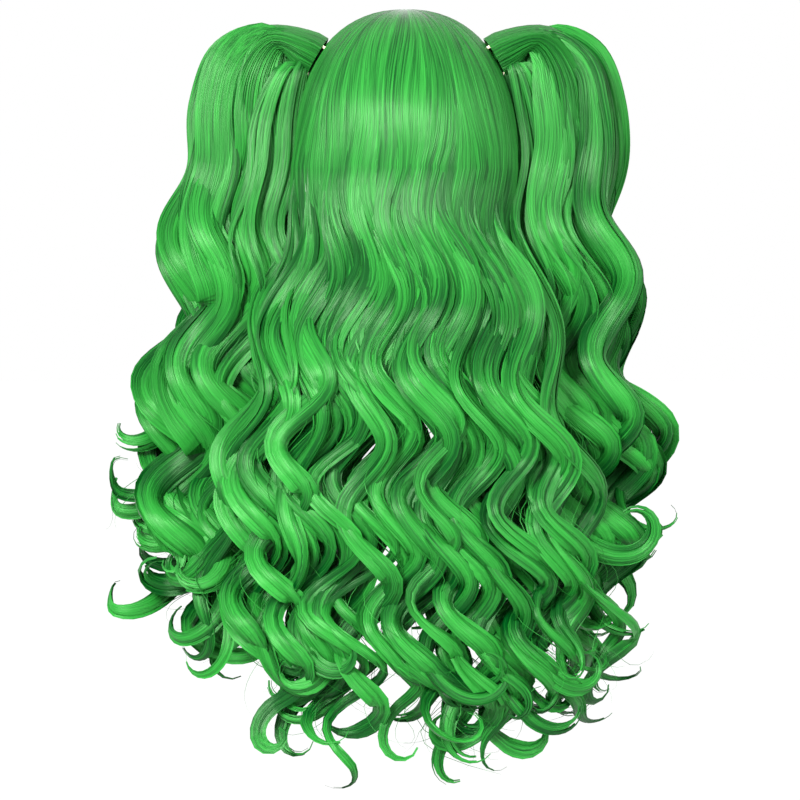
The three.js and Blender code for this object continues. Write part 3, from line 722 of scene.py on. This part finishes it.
def crown_strands(rng, count):
    """Combed strands from the whorl down over the crown; at the back they run on over the ringlets."""
    lines = back_ringlet_lines()
    share = np.linspace(WHORL, 1, 20)
    arc = math.pi * share
    strands = []
    for k in range(count):
        azimuth = 360 * (k + rng.uniform(*COMB_PLACE)) / count - 180
        lift = rng.uniform(*CROWN_LIFTS)
        edge = float(crown_edge(azimuth))
        offset = CROWN_INNER + mix(CROWN_HAIR, SIDE_HAIR, smooth(share, *CROWN_FULL)) + lift
        level = level_at(edge, CROWN_INNER + SIDE_HAIR) * share
        # The comb leaves soft sweeps, the same for neighbouring strands.
        a = math.radians(azimuth)
        sweep = sum(
            size * math.sin(many * a + start) * np.sin(n * arc)
            for n, (size, many, start) in enumerate(CROWN_SWEEPS, 1)
        )
        points = head_point(azimuth + sweep + rng.normal(0, CROWN_SHIFT) * np.sin(arc), level, offset)
        outline, aside = CROWN_SHORT_STRAND, 0.0
        if abs(azimuth) < BACK_TO:
            outline = CROWN_STRAND
            points, aside = run_on(rng, lines, azimuth, points, lift)
        elif abs(azimuth) > FRINGE_FROM:
            drop = np.linspace(edge, FRINGE_DROP - rng.uniform(0, 26), 9)[1:]
            down = smooth(drop, edge, edge + 0.8 * (FRINGE_DROP - edge))
            low = hang_point(azimuth, drop, mix(offset[-1], CROWN_INNER + 0.75 * FRINGE_THICKNESS, down))
            points = np.vstack([points, low])
        else:
            drop = np.linspace(edge, edge + rng.uniform(2, 9), 4)[1:]
            points = np.vstack([points, hang_point(azimuth, drop, offset[-1])])
        above = np.maximum(points[:, 2] + HEAD_HEIGHT, 0)
        outward = unit(points * [1, 1, 0] + np.outer(0.6 * above, [0, 0, 1]))
        # Painted light: paler on the crests of the strand's sweeps and waves, painted shade in their hollows
        tone = rng.uniform(*CROWN_TONES) + CROWN_CREST_LIGHT * standing_out(points, turned(azimuth)[0])
        # Painted shade: darker at the top, and between one ringlet and the next
        drop = -points[:, 2]
        tone -= TOP_SHADE * (1 - smooth(drop, 30, CROWN_DROP + 10))
        tone -= BETWEEN_SHADE * aside * smooth(drop, CROWN_DROP - WAVE_RISE, CROWN_DROP + 40)
        width = CROWN_WIDTH * rng.uniform(*CROWN_SIZES)
        strands.append(strand(points, width, outward, np.clip(tone, 0, 1), outline))
    return strands


def fringe_strands(rng, count):
    strands = []
    for k in range(count):
        place = (k + rng.uniform(*COMB_PLACE)) / count
        azimuth = 180 + mix(-FRINGE_HALF_ANGLE, FRINGE_HALF_ANGLE, place)
        edge = float(crown_edge(azimuth)) + 1
        drop = np.linspace(edge, FRINGE_DROP - abs(rng.normal(0, 5)), 12)
        down = (drop - edge) / (FRINGE_DROP - edge)
        thickness = FRINGE_THICKNESS * (1 - 0.5 * down * down)
        offset = CROWN_INNER + thickness * rng.uniform(0.3, 1.0)
        points = hang_point(azimuth + 2 * rng.normal() * down, drop, offset)
        width = FRINGE_WIDTH * rng.uniform(*FRINGE_SIZES)
        strands.append(strand(points, width, turned(azimuth)[0], rng.uniform(0.2, 1)))
    return strands


def tip_of(row, hand, reach, length):
    across, ahead = hand * row["tip_x"] * reach, row["tip_y"] * HEAD_HALF_LENGTH
    return np.array([across, ahead, -row["tip_drop"] * length])


def side_strands(rng, hand, count):
    strands = []
    deep = 0.35 * LOCK_THICKNESS
    for row in SIDE_LOCKS:
        azimuth = hand * row["azimuth"]
        edge = float(crown_edge(azimuth))
        root_drop = edge + 0.5 * LOCK_WIDTH
        offset = CROWN_INNER + 2 * CLEARANCE + deep
        top, root, neck = (
            hang_point(azimuth, drop, offset) for drop in (edge + 1, root_drop, root_drop + WEFT_HEIGHT)
        )
        tip = tip_of(row, hand, FALL_HALF_WIDTH, HAIR_LENGTH)
        facing, side = turned(azimuth)
        base = curve_through([top, root, neck, mix(neck, tip, 0.5), tip], 62)
        way = line_way_of(row, hand, base, facing, side)
        hook = math.copysign(HOOK_TURN, hand * row["flick"])
        strands += lock(rng, ringlets(rng, RINGLETS), way, form_of(row, deep, facing, side), count, hook)
    return strands


def clip_place(hand):
    """The place of a clip on the crown hair, and its outward, forward and down directions."""
    azimuth = hand * PONYTAIL_ROOT_AZIMUTH
    offset = CROWN_INNER + SIDE_HAIR
    level = float(level_at(PONYTAIL_ROOT_DROP, offset))
    point = head_point(azimuth, level, offset)
    down = unit(head_point(azimuth, level + 1, offset) - head_point(azimuth, level - 1, offset))
    forward = unit(np.array([0, 1, 0]) - down[1] * down)
    return point, unit(-hand * np.cross(forward, down)), forward, down


def ponytail_strands(rng, hand, count, stray):
    """The locks of a ponytail, from all round its clip, and the single hairs that stray from them."""
    point, outward, ahead, down = clip_place(hand)
    start = point + outward * (CLIP_HEIGHT + ROOT_FLATNESS * ROOT_RADIUS)
    reach = LEFT_REACH if hand < 0 else RIGHT_REACH
    facing, side = np.array([0.0, -1.0, 0.0]), np.array([1.0, 0.0, 0.0])
    deep = 0.65 * LOCK_THICKNESS
    thick, thin = [], []
    apart = np.random.default_rng(SEEDS["thin"] + hand)
    for row in PONYTAIL_LOCKS:
        arch = row["outward"] * PONYTAIL_ARCH
        around = ahead * ROOT_RADIUS * 1.2 * row["forward"]
        around = around + down * (0.45 - 0.9 * row["outward"]) * ROOT_RADIUS
        knots = [point + outward * 2 + around] + [start + np.array([
            hand * (mid * ROOT_RADIUS + arched * arch),
            (forward * row["forward"] + lean) * PONYTAIL_HALF_DEPTH,
            lift * arch - drop * PONYTAIL_LENGTH,
        ]) for mid, arched, forward, lean, lift, drop in PONYTAIL_WAY]
        tip = tip_of(row, hand, reach, PONYTAIL_LENGTH)
        base = curve_through(knots + [mix(knots[-1], tip, 0.5), tip], 96)
        way = line_way_of(row, hand, base, facing, side, PONYTAIL_CURL)
        form = form_of(row, deep, facing, side, PONYTAIL_BUNDLE)
        hook = math.copysign(PONYTAIL_HOOK_TURN, hand * row["flick"])
        plan = ringlets(rng, RINGLETS, broad=1.25)
        thick += lock(rng, plan, way, form, count, hook, PONYTAIL_CLUMP)
        plan, spread = ringlets(apart, 2, broad=0.65, wild=1.2), dict(form, deep=1.6 * deep)
        thick += lock(apart, plan, way, spread, 5, 1.25 * hook, PONYTAIL_CLUMP, tight=0.65)
        thin += loose(rng, way, form, stray)
    thick += root_strands(rng, hand, point, start, outward, ahead, down)
    thick += beside_strands(rng, hand, point, start, ahead, down, facing, side)
    return thick, thin


def root_strands(rng, hand, point, start, outward, ahead, down):
    """Strands that leave a clip all round, arch over it and fall."""
    strands = []
    long_, high = ROOT_RING
    out_from, up_from = ROOT_CENTRE
    for k in range(ROOT_COUNT):
        turn = 2 * math.pi * (k + rng.uniform(*COMB_PLACE)) / ROOT_COUNT
        fore, low = math.cos(turn), math.sin(turn)
        ring = ahead * long_ * fore + down * high * low
        over, aside = (
            np.array([hand * (out + out_low * low), fore_by * fore, up + up_low * low])
            for (out, out_low), fore_by, (up, up_low) in ROOT_ARCH
        )
        below = aside + [hand * 4, 0, -rng.uniform(80, 160)]
        knots = [point + ring, point + ring + outward * 9, start + over, start + aside, start + below]
        line = curve_through(knots, 30)
        facing = unit(line - (start + [hand * out_from, 0, up_from]))
        width = ROOT_WIDTH * rng.uniform(*ROOT_SIZES)
        strands.append(strand(line, width, facing, rng.uniform(0.3, 0.8), ROOT_STRAND))
    return strands


def beside_strands(rng, hand, point, start, ahead, down, facing, side):
    """Strands that fall from under a clip, close beside the crown hair."""
    strands = []
    beside = HEAD_HALF_WIDTH + CROWN_INNER + SIDE_HAIR + 2
    for _ in range(BESIDE_COUNT):
        # Most of them lie close to the crown hair, and a few up to 44 mm away.
        aside = 50 * rng.uniform() ** 1.6 - 6
        back, length = rng.uniform(-30, 16), rng.uniform(*BESIDE_LENGTHS)
        line = curve_through([
            point + down * 12 + ahead * 0.6 * back,
            start + [hand * (0.5 * aside - 6), back, -12 - 0.1 * aside],
            [hand * (beside + aside), back, -80],
            [hand * (beside + 3 + aside), 1.3 * back - 8, -0.7 * length],
            [hand * (beside + 8 + 1.3 * aside), 1.5 * back - 16, -length],
        ], 34)
        line, _ = waved(line, np.linspace(0, 0.3, 34), rng.normal(-0.1, 0.03), 0, side, facing)
        width = BESIDE_WIDTH * rng.uniform(*ROOT_SIZES)
        strands.append(strand(line, width, facing, rng.uniform(0.2, 0.6), ROOT_STRAND))
    return strands


# Geometry Nodes: a flat section carried along each guide line


def join(tree, node, links=None, values=None):
    """Sets a node's inputs to fixed values or links them. A node as a source gives its first output."""
    for key, value in (values or {}).items():
        node.inputs[key].default_value = value
    for key, source in (links or {}).items():
        tree.links.new(source.outputs[0] if hasattr(source, "outputs") else source, node.inputs[key])
    return node


def put(tree, kind, links=None, values=None, **settings):
    """Adds a node, sets its properties or its inputs' values, and links its inputs."""
    node = tree.nodes.new(kind)
    for key, value in settings.items():
        setattr(node, key, value)
    return join(tree, node, links, values)


def strand_tree():
    """Guide lines in, strands out, with their own UV map and a fibre coordinate."""
    tree = bpy.data.node_groups.new(STRAND_TREE, "GeometryNodeTree")
    for name, way, kind in (
        ("Geometry", "INPUT", "Geometry"), ("Sides", "INPUT", "Int"), ("Flatness", "INPUT", "Float"),
        ("Material", "INPUT", "Material"), ("Geometry", "OUTPUT", "Geometry"),
    ):
        tree.interface.new_socket(name, in_out=way, socket_type="NodeSocket" + kind)
    given = put(tree, "NodeGroupInput").outputs
    facing, thick, along = (
        put(tree, "GeometryNodeInputNamedAttribute", values={"Name": name}, data_type=kind)
        for name, kind in (("facing", "FLOAT_VECTOR"), ("thick", "FLOAT"), ("along", "FLOAT"))
    )
    line = put(tree, "GeometryNodeMeshToCurve", {"Mesh": given["Geometry"]})
    line = put(tree, "GeometryNodeSetCurveNormal", {"Curve": line, "Normal": facing}, mode="FREE")

    # The section: a ring made flat, which keeps its place and its share of the way round for later.
    ring = put(tree, "GeometryNodeCurvePrimitiveCircle", {"Resolution": given["Sides"]}, {"Radius": 1.0})
    flat = put(tree, "ShaderNodeCombineXYZ", {"X": given["Flatness"]}, {"Y": 1.0, "Z": 1.0})
    place = put(tree, "GeometryNodeInputPosition")
    shaped = put(tree, "ShaderNodeVectorMath", {0: place, 1: flat}, operation="MULTIPLY")
    ring = put(tree, "GeometryNodeSetPosition", {"Geometry": ring, "Position": shaped})
    share = put(tree, "GeometryNodeSplineParameter")
    captured = put(tree, "GeometryNodeCaptureAttribute", {"Geometry": ring})
    captured.capture_items.new("VECTOR", "Section")
    captured.capture_items.new("FLOAT", "Round")
    join(tree, captured, {"Section": place, "Round": share.outputs["Factor"]})

    body = put(tree, "GeometryNodeCurveToMesh", {
        "Curve": line, "Profile Curve": captured.outputs["Geometry"], "Scale": thick,
    }, {"Fill Caps": True})
    uv = put(tree, "ShaderNodeCombineXYZ", {"X": captured.outputs["Round"], "Y": along})
    across = put(tree, "ShaderNodeVectorMath", {
        0: captured.outputs["Section"], "Scale": thick,
    }, operation="SCALE")
    depth = put(tree, "ShaderNodeCombineXYZ", {"Z": along})
    fibre = put(tree, "ShaderNodeVectorMath", {0: across, 1: depth}, operation="ADD")
    body = put(tree, "GeometryNodeSetShadeSmooth", {"Geometry": body})
    # The thin edges of a ribbon stay sharp, so that its broad side shades as one smooth face.
    bend = put(tree, "GeometryNodeInputMeshEdgeAngle")
    steep = put(tree, "FunctionNodeCompare", {
        0: bend.outputs["Unsigned Angle"],
    }, {1: SHARP_ANGLE}, data_type="FLOAT", operation="GREATER_THAN")
    for name, kind, domain, source in (
        ("UVMap", "FLOAT2", "CORNER", uv), ("fibre", "FLOAT_VECTOR", "POINT", fibre),
        ("sharp_edge", "BOOLEAN", "EDGE", steep),
    ):
        body = put(tree, "GeometryNodeStoreNamedAttribute", {
            "Geometry": body, "Value": source,
        }, {"Name": name}, data_type=kind, domain=domain)
    body = put(tree, "GeometryNodeRealizeInstances", {"Geometry": body})
    body = put(tree, "GeometryNodeSetMaterial", {"Geometry": body, "Material": given["Material"]})
    put(tree, "NodeGroupOutput", {"Geometry": body})
    return tree


def guide_mesh(name, strands):
    """All the guide lines as one mesh of loose edges, with what each point carries, in metres."""
    counts = [len(s["points"]) for s in strands]
    ends = np.cumsum(counts)
    starts = np.arange(ends[-1])
    starts = np.delete(starts, ends - 1)
    mesh = bpy.data.meshes.new(name)
    mesh.from_pydata(
        np.vstack([s["points"] for s in strands]) * MM, np.column_stack([starts, starts + 1]).tolist(), [],
    )
    columns = {
        # Another share for each strand, well spread, so that no two have the same streaks
        "place": np.repeat([(0.618 * k) % 1 for k in range(len(strands))], counts),
        "thick": np.concatenate([s["radius"] for s in strands]) * MM,
        "along": np.concatenate([s["along"] for s in strands]) * MM,
        "tone": np.concatenate([np.broadcast_to(s["tone"], n) for s, n in zip(strands, counts)]),
    }
    for key, values in columns.items():
        mesh.attributes.new(key, "FLOAT", "POINT").data.foreach_set("value", values.astype(np.float32))
    facing = np.vstack([s["facing"] for s in strands]).astype(np.float32)
    mesh.attributes.new("facing", "FLOAT_VECTOR", "POINT").data.foreach_set("vector", facing.ravel())
    return mesh


def added(name, data):
    thing = bpy.data.objects.new(name, data)
    bpy.context.scene.collection.objects.link(thing)
    return thing


def hair_piece(name, strands, section, node):
    """A piece of hair: strands grown by Geometry Nodes, as one plain mesh that stands for its solid."""
    guide = added(name + "_guides", guide_mesh(name + "_guides", strands))
    tree = bpy.data.node_groups.get(STRAND_TREE) or strand_tree()
    modifier = guide.modifiers.new("Strands", "NODES")
    modifier.node_group = tree
    sides, flatness = section
    material = bpy.data.materials.get(HAIR_NAME) or hair_material()
    given = {"Sides": sides, "Flatness": flatness, "Material": material}
    for item in tree.interface.items_tree:
        if item.in_out == "INPUT" and item.name in given:
            modifier[item.identifier] = given[item.name]
    grown = guide.evaluated_get(bpy.context.evaluated_depsgraph_get())
    mesh = bpy.data.meshes.new_from_object(grown)
    if not mesh.polygons:
        raise RuntimeError(f"{name}: the strands came out empty")
    bpy.data.objects.remove(guide)
    mesh.name = name
    piece = added(name, mesh)
    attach(piece, "root")
    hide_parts(node)


# Materials

STRAND_TREE = "Strands from guide lines"
HAIR_NAME = "Modacrylic hair fibre, heat-set"
SHARP_ANGLE = 1.1
FIBRE_IOR = 1.52
ACETAL_IOR = 1.48
# A cell of the net is 2 mm wide, and a ripple of the clip's plastic 11 mm.
NET_CELLS = 1 / 0.002
CLIP_RIPPLES = 90.0


def new_material(name):
    material = bpy.data.materials.new(name)
    material.use_nodes = True
    tree = material.node_tree
    return material, tree, tree.nodes["Principled BSDF"]


def hair_material():
    """Drawn modacrylic fibre, glossy: fine streaks along each strand, and a highlight that runs
    across the strands, because fibres are smooth along their length and round across it."""
    props = bpy.context.scene.wig_hair
    material, tree, surface = new_material(HAIR_NAME)
    fibre, tone, place = (
        put(tree, "ShaderNodeAttribute", attribute_name=name) for name in ("fibre", "tone", "place")
    )
    # Streaks are 50 times as long as wide, and each strand takes its own from another part of the noise.
    pitch = 1 / props.streak_width
    drawn = put(tree, "ShaderNodeMapping", {
        "Vector": fibre.outputs["Vector"],
    }, {"Scale": (pitch, pitch, pitch * 0.02)})
    shift = put(tree, "ShaderNodeMath", {0: place.outputs["Fac"]}, {1: 97.0}, operation="MULTIPLY")
    apart = put(tree, "ShaderNodeCombineXYZ", {"X": shift, "Y": shift})
    where = put(tree, "ShaderNodeVectorMath", {0: drawn, 1: apart}, operation="ADD")
    streak, broad = (
        put(tree, "ShaderNodeTexNoise", {"Vector": where}, values)
        for values in ({"Scale": 1.0, "Detail": 2.0, "Roughness": 0.6}, {"Scale": 0.27, "Detail": 1.0})
    )
    blend = put(tree, "ShaderNodeMath", {0: broad, 2: streak}, {1: 0.3}, operation="MULTIPLY_ADD")
    # The tone carries painted highlight and painted shade as well as each strand's own tone
    level = put(tree, "ShaderNodeMath", {
        0: tone.outputs["Fac"], 2: blend,
    }, {1: 0.42}, operation="MULTIPLY_ADD")
    ramp = put(tree, "ShaderNodeMapRange", {"Value": level}, {"From Min": 0.66, "From Max": 1.13})
    shade, light = (tuple(colour) + (1.0,) for colour in (props.shade_colour, props.light_colour))
    colour = put(tree, "ShaderNodeMix", {"Factor": ramp}, {6: shade, 7: light}, data_type="RGBA")
    rough = put(tree, "ShaderNodeMapRange", {"Value": streak}, {"To Min": 0.3, "To Max": 0.5})
    bump = put(tree, "ShaderNodeBump", {"Height": blend}, {"Strength": 0.9, "Distance": 0.0009})
    tangent = put(tree, "ShaderNodeTangent", direction_type="UV_MAP", uv_map="UVMap")
    join(tree, surface, {
        "Base Color": colour.outputs[2], "Roughness": rough, "Normal": bump, "Tangent": tangent,
    }, {
        "Anisotropic": 0.75, "Specular IOR Level": 0.4, "Specular Tint": linear("#b4ecb2"), "IOR": FIBRE_IOR,
    })
    return material


def net_material():
    """Knitted elastic net: small open cells with raised threads, dull."""
    material, tree, surface = new_material("Elastic wig net, knitted")
    place = put(tree, "ShaderNodeTexCoord")
    cells = put(tree, "ShaderNodeTexVoronoi", {
        "Vector": place.outputs["Object"],
    }, {"Scale": NET_CELLS, "Randomness": 0.35}, feature="DISTANCE_TO_EDGE")
    thread = put(tree, "ShaderNodeMapRange", {
        "Value": cells.outputs["Distance"],
    }, {"From Min": 0.0, "From Max": 0.25, "To Min": 1.0, "To Max": 0.0})
    tones = {6: linear("#082d10"), 7: linear("#1c6128")}
    colour = put(tree, "ShaderNodeMix", {"Factor": thread}, tones, data_type="RGBA")
    bump = put(tree, "ShaderNodeBump", {"Height": thread}, {"Strength": 0.7, "Distance": 0.0004})
    join(tree, surface, {"Base Color": colour.outputs[2], "Normal": bump}, {"Roughness": 0.85})
    return material


def clip_material():
    """Moulded acetal, ivory and a little translucent, with a faint flow pattern."""
    material, tree, surface = new_material("Acetal claw clip, moulded")
    place = put(tree, "ShaderNodeTexCoord")
    flow = put(tree, "ShaderNodeTexNoise", {
        "Vector": place.outputs["Object"],
    }, {"Scale": CLIP_RIPPLES, "Detail": 2.0})
    tones = {6: linear("#dccfae"), 7: linear("#efe6cf")}
    colour = put(tree, "ShaderNodeMix", {"Factor": flow}, tones, data_type="RGBA")
    rough = put(tree, "ShaderNodeMapRange", {"Value": flow}, {"To Min": 0.25, "To Max": 0.4})
    bump = put(tree, "ShaderNodeBump", {"Height": flow}, {"Strength": 0.2, "Distance": 0.0003})
    join(tree, surface, {"Base Color": colour.outputs[2], "Roughness": rough, "Normal": bump}, {
        "IOR": ACETAL_IOR, "Subsurface Weight": 0.15, "Subsurface Radius": (0.004, 0.003, 0.002),
    })
    return material


def dress(node, material):
    """Gives a solid that stays its better material."""
    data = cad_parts[node].data
    data.materials.clear()
    data.materials.append(material)


# What a user would change


class WigHair(PropertyGroup):
    shade_colour: FloatVectorProperty(
        name="Shade colour", description="Colour of the darker streaks", subtype="COLOR",
        min=0, max=1, default=linear("#003c10")[:3],
    )
    light_colour: FloatVectorProperty(
        name="Light colour", description="Colour of the paler streaks", subtype="COLOR",
        min=0, max=1, default=linear("#26842e")[:3],
    )
    streak_width: FloatProperty(
        name="Streak width", description="Width of a streak of fibres; one fibre is too fine to show",
        unit="LENGTH", default=0.001, min=0.0002, max=0.01,
    )
    back_strands: IntProperty(
        name="Back strands", description="Strands in each ringlet of the back", default=10, min=3, max=12,
    )
    ponytail_strands: IntProperty(
        name="Ponytail strands", description="Strands in each ringlet of a ponytail", default=10,
        min=3, max=12,
    )
    crown_strands: IntProperty(
        name="Crown strands", description="Strands combed from the whorl", default=540, min=60, max=700,
    )


class WigStage(PropertyGroup):
    floor_drop: FloatProperty(
        name="Floor drop", description="Crown down to the floor", unit="LENGTH", default=0.66,
        min=0.62, max=2,
    )
    view_distance: FloatProperty(
        name="View distance", description="Camera to the wig", unit="LENGTH", default=2.2, min=1, max=6,
    )
    view_height: FloatProperty(
        name="View height", description="How far above level the camera looks from", subtype="ANGLE",
        unit="ROTATION", default=math.radians(4), min=0, max=1,
    )


# The pieces

HANDS = (("left", -1), ("right", 1))


class WIG_OT_cap(Operator):
    """Gives the cap its net and the claw clips their plastic"""
    bl_idname = "wig.cap"
    bl_label = "Cap and clips"

    def execute(self, context):
        dress("wig_cap", net_material())
        plastic = clip_material()
        for name, _ in HANDS:
            dress("clip_" + name, plastic)
        return {"FINISHED"}


class WIG_OT_crown(Operator):
    """Combs the crown hair from its whorl"""
    bl_idname = "wig.crown"
    bl_label = "Crown hair"

    def execute(self, context):
        rng = np.random.default_rng(SEEDS["crown"])
        strands = crown_strands(rng, context.scene.wig_hair.crown_strands)
        hair_piece("combed_crown", strands, CROWN_SECTION, "crown_hair")
        return {"FINISHED"}


class WIG_OT_back(Operator):
    """Grows the waved locks of the back, and the nape hair under them"""
    bl_idname = "wig.back"
    bl_label = "Back hair"

    def execute(self, context):
        rng = np.random.default_rng(SEEDS["back"])
        locks = back_strands(rng, context.scene.wig_hair.back_strands)
        hair_piece("back_locks", locks, LOCK_SECTION, "back_hair")
        hair_piece("back_thin_ringlets", back_thin_ringlets(rng, count=5), LOCK_SECTION, "back_hair")
        hair_piece("back_loose_strands", back_loose_strands(rng, count=12), HAIR_SECTION, "back_hair")
        hair_piece("nape_locks", nape_strands(rng, count=6), LOCK_SECTION, "nape_hair")
        return {"FINISHED"}


class WIG_OT_front(Operator):
    """Grows the fringe and the side locks"""
    bl_idname = "wig.front"
    bl_label = "Fringe and side hair"

    def execute(self, context):
        rng = np.random.default_rng(SEEDS["front"])
        hair_piece("combed_fringe", fringe_strands(rng, count=90), FRINGE_SECTION, "fringe")
        for name, hand in HANDS:
            hair_piece(f"side_locks_{name}", side_strands(rng, hand, 8), LOCK_SECTION, f"side_hair_{name}")
        return {"FINISHED"}


class WIG_OT_ponytails(Operator):
    """Grows the two clip-on ponytails"""
    bl_idname = "wig.ponytails"
    bl_label = "Ponytails"

    def execute(self, context):
        rng = np.random.default_rng(SEEDS["ponytails"])
        for name, hand in HANDS:
            thick, thin = ponytail_strands(rng, hand, context.scene.wig_hair.ponytail_strands, stray=8)
            hair_piece(f"ponytail_locks_{name}", thick, LOCK_SECTION, f"ponytail_{name}")
            hair_piece(f"ponytail_loose_strands_{name}", thin, HAIR_SECTION, f"ponytail_{name}")
        return {"FINISHED"}


# The stage, in metres and watts. Each light has its place, its power and its width.

FLOOR_HALF = 6.0
VIEW_WIDTH = 0.624
TARGET = Vector((-0.0047, -0.03, -0.292))
LIGHTS = (
    ("key_light", (-1.0, -2.1, 0.8), 122, 0.8),
    ("fill_light", (1.4, -1.8, 0.5), 34, 1.2),
    ("rim_light", (0.3, 1.8, 0.6), 6, 1.4),
)


def aimed(data, place):
    """Puts a light or the camera at its place, turned towards the wig."""
    thing = added(data.name, data)
    thing.location = place
    thing.rotation_euler = (TARGET - thing.location).to_track_quat("-Z", "Y").to_euler()
    return thing


class WIG_OT_stage(Operator):
    """Sets up the pale floor, the soft light and the camera behind the wig"""
    bl_idname = "wig.stage"
    bl_label = "Stage"

    def execute(self, context):
        props = context.scene.wig_stage
        scene = context.scene
        mesh = bpy.data.meshes.new("floor")
        corners = ((-1, -1), (1, -1), (1, 1), (-1, 1))
        places = [(x * FLOOR_HALF, y * FLOOR_HALF, -props.floor_drop) for x, y in corners]
        mesh.from_pydata(places, [], [(0, 1, 2, 3)])
        floor = added("floor", mesh)
        # It glows a little, so that it shows no edge against the white studio.
        material, tree, surface = new_material("Opal acrylic light table, matt")
        join(tree, surface, values={
            "Base Color": linear("#3c3c3c"), "Emission Color": (1, 1, 1, 1), "Emission Strength": 0.97,
            "Roughness": 1.0, "Specular IOR Level": 0.0,
        })
        mesh.materials.append(material)

        world = bpy.data.worlds.new("Pale studio")
        world.use_nodes = True
        background = world.node_tree.nodes["Background"]
        join(world.node_tree, background, values={"Color": (1, 1, 1, 1), "Strength": 1.0})
        scene.world = world
        # White shows as white, as in a product picture.
        scene.view_settings.view_transform = "Standard"

        for name, place, power, width in LIGHTS:
            light = bpy.data.lights.new(name, "AREA")
            light.energy = power
            light.size = width
            aimed(light, place)

        lens = bpy.data.cameras.new("camera")
        height = props.view_height
        lens.sensor_width = 36
        lens.lens = 36 * props.view_distance / VIEW_WIDTH
        place = TARGET + props.view_distance * Vector((0, -math.cos(height), math.sin(height)))
        scene.camera = aimed(lens, place)
        return {"FINISHED"}


class WIG_PT_panel(Panel):
    """Lists the wig's pieces in the sidebar"""
    bl_label = "Ponytail wig"
    bl_idname = "WIG_PT_panel"
    bl_space_type = "VIEW_3D"
    bl_region_type = "UI"
    bl_category = "Wig"

    def draw(self, context):
        for props in (context.scene.wig_hair, context.scene.wig_stage):
            for key in props.__annotations__:
                self.layout.prop(props, key)
        for operator in OPERATORS:
            self.layout.operator(operator.bl_idname)


OPERATORS = (WIG_OT_stage, WIG_OT_cap, WIG_OT_crown, WIG_OT_back, WIG_OT_front, WIG_OT_ponytails)
CLASSES = (WigHair, WigStage) + OPERATORS + (WIG_PT_panel,)


def register():
    for cls in CLASSES:
        bpy.utils.register_class(cls)
    bpy.types.Scene.wig_hair = PointerProperty(type=WigHair)
    bpy.types.Scene.wig_stage = PointerProperty(type=WigStage)


def unregister():
    del bpy.types.Scene.wig_stage
    del bpy.types.Scene.wig_hair
    for cls in reversed(CLASSES):
        bpy.utils.unregister_class(cls)


def main():
    register()
    bpy.ops.wig.stage()
    bpy.ops.wig.cap()
    bpy.ops.wig.crown()
    bpy.ops.wig.back()
    bpy.ops.wig.front()
    bpy.ops.wig.ponytails()


if __name__ == "__main__":
    main()
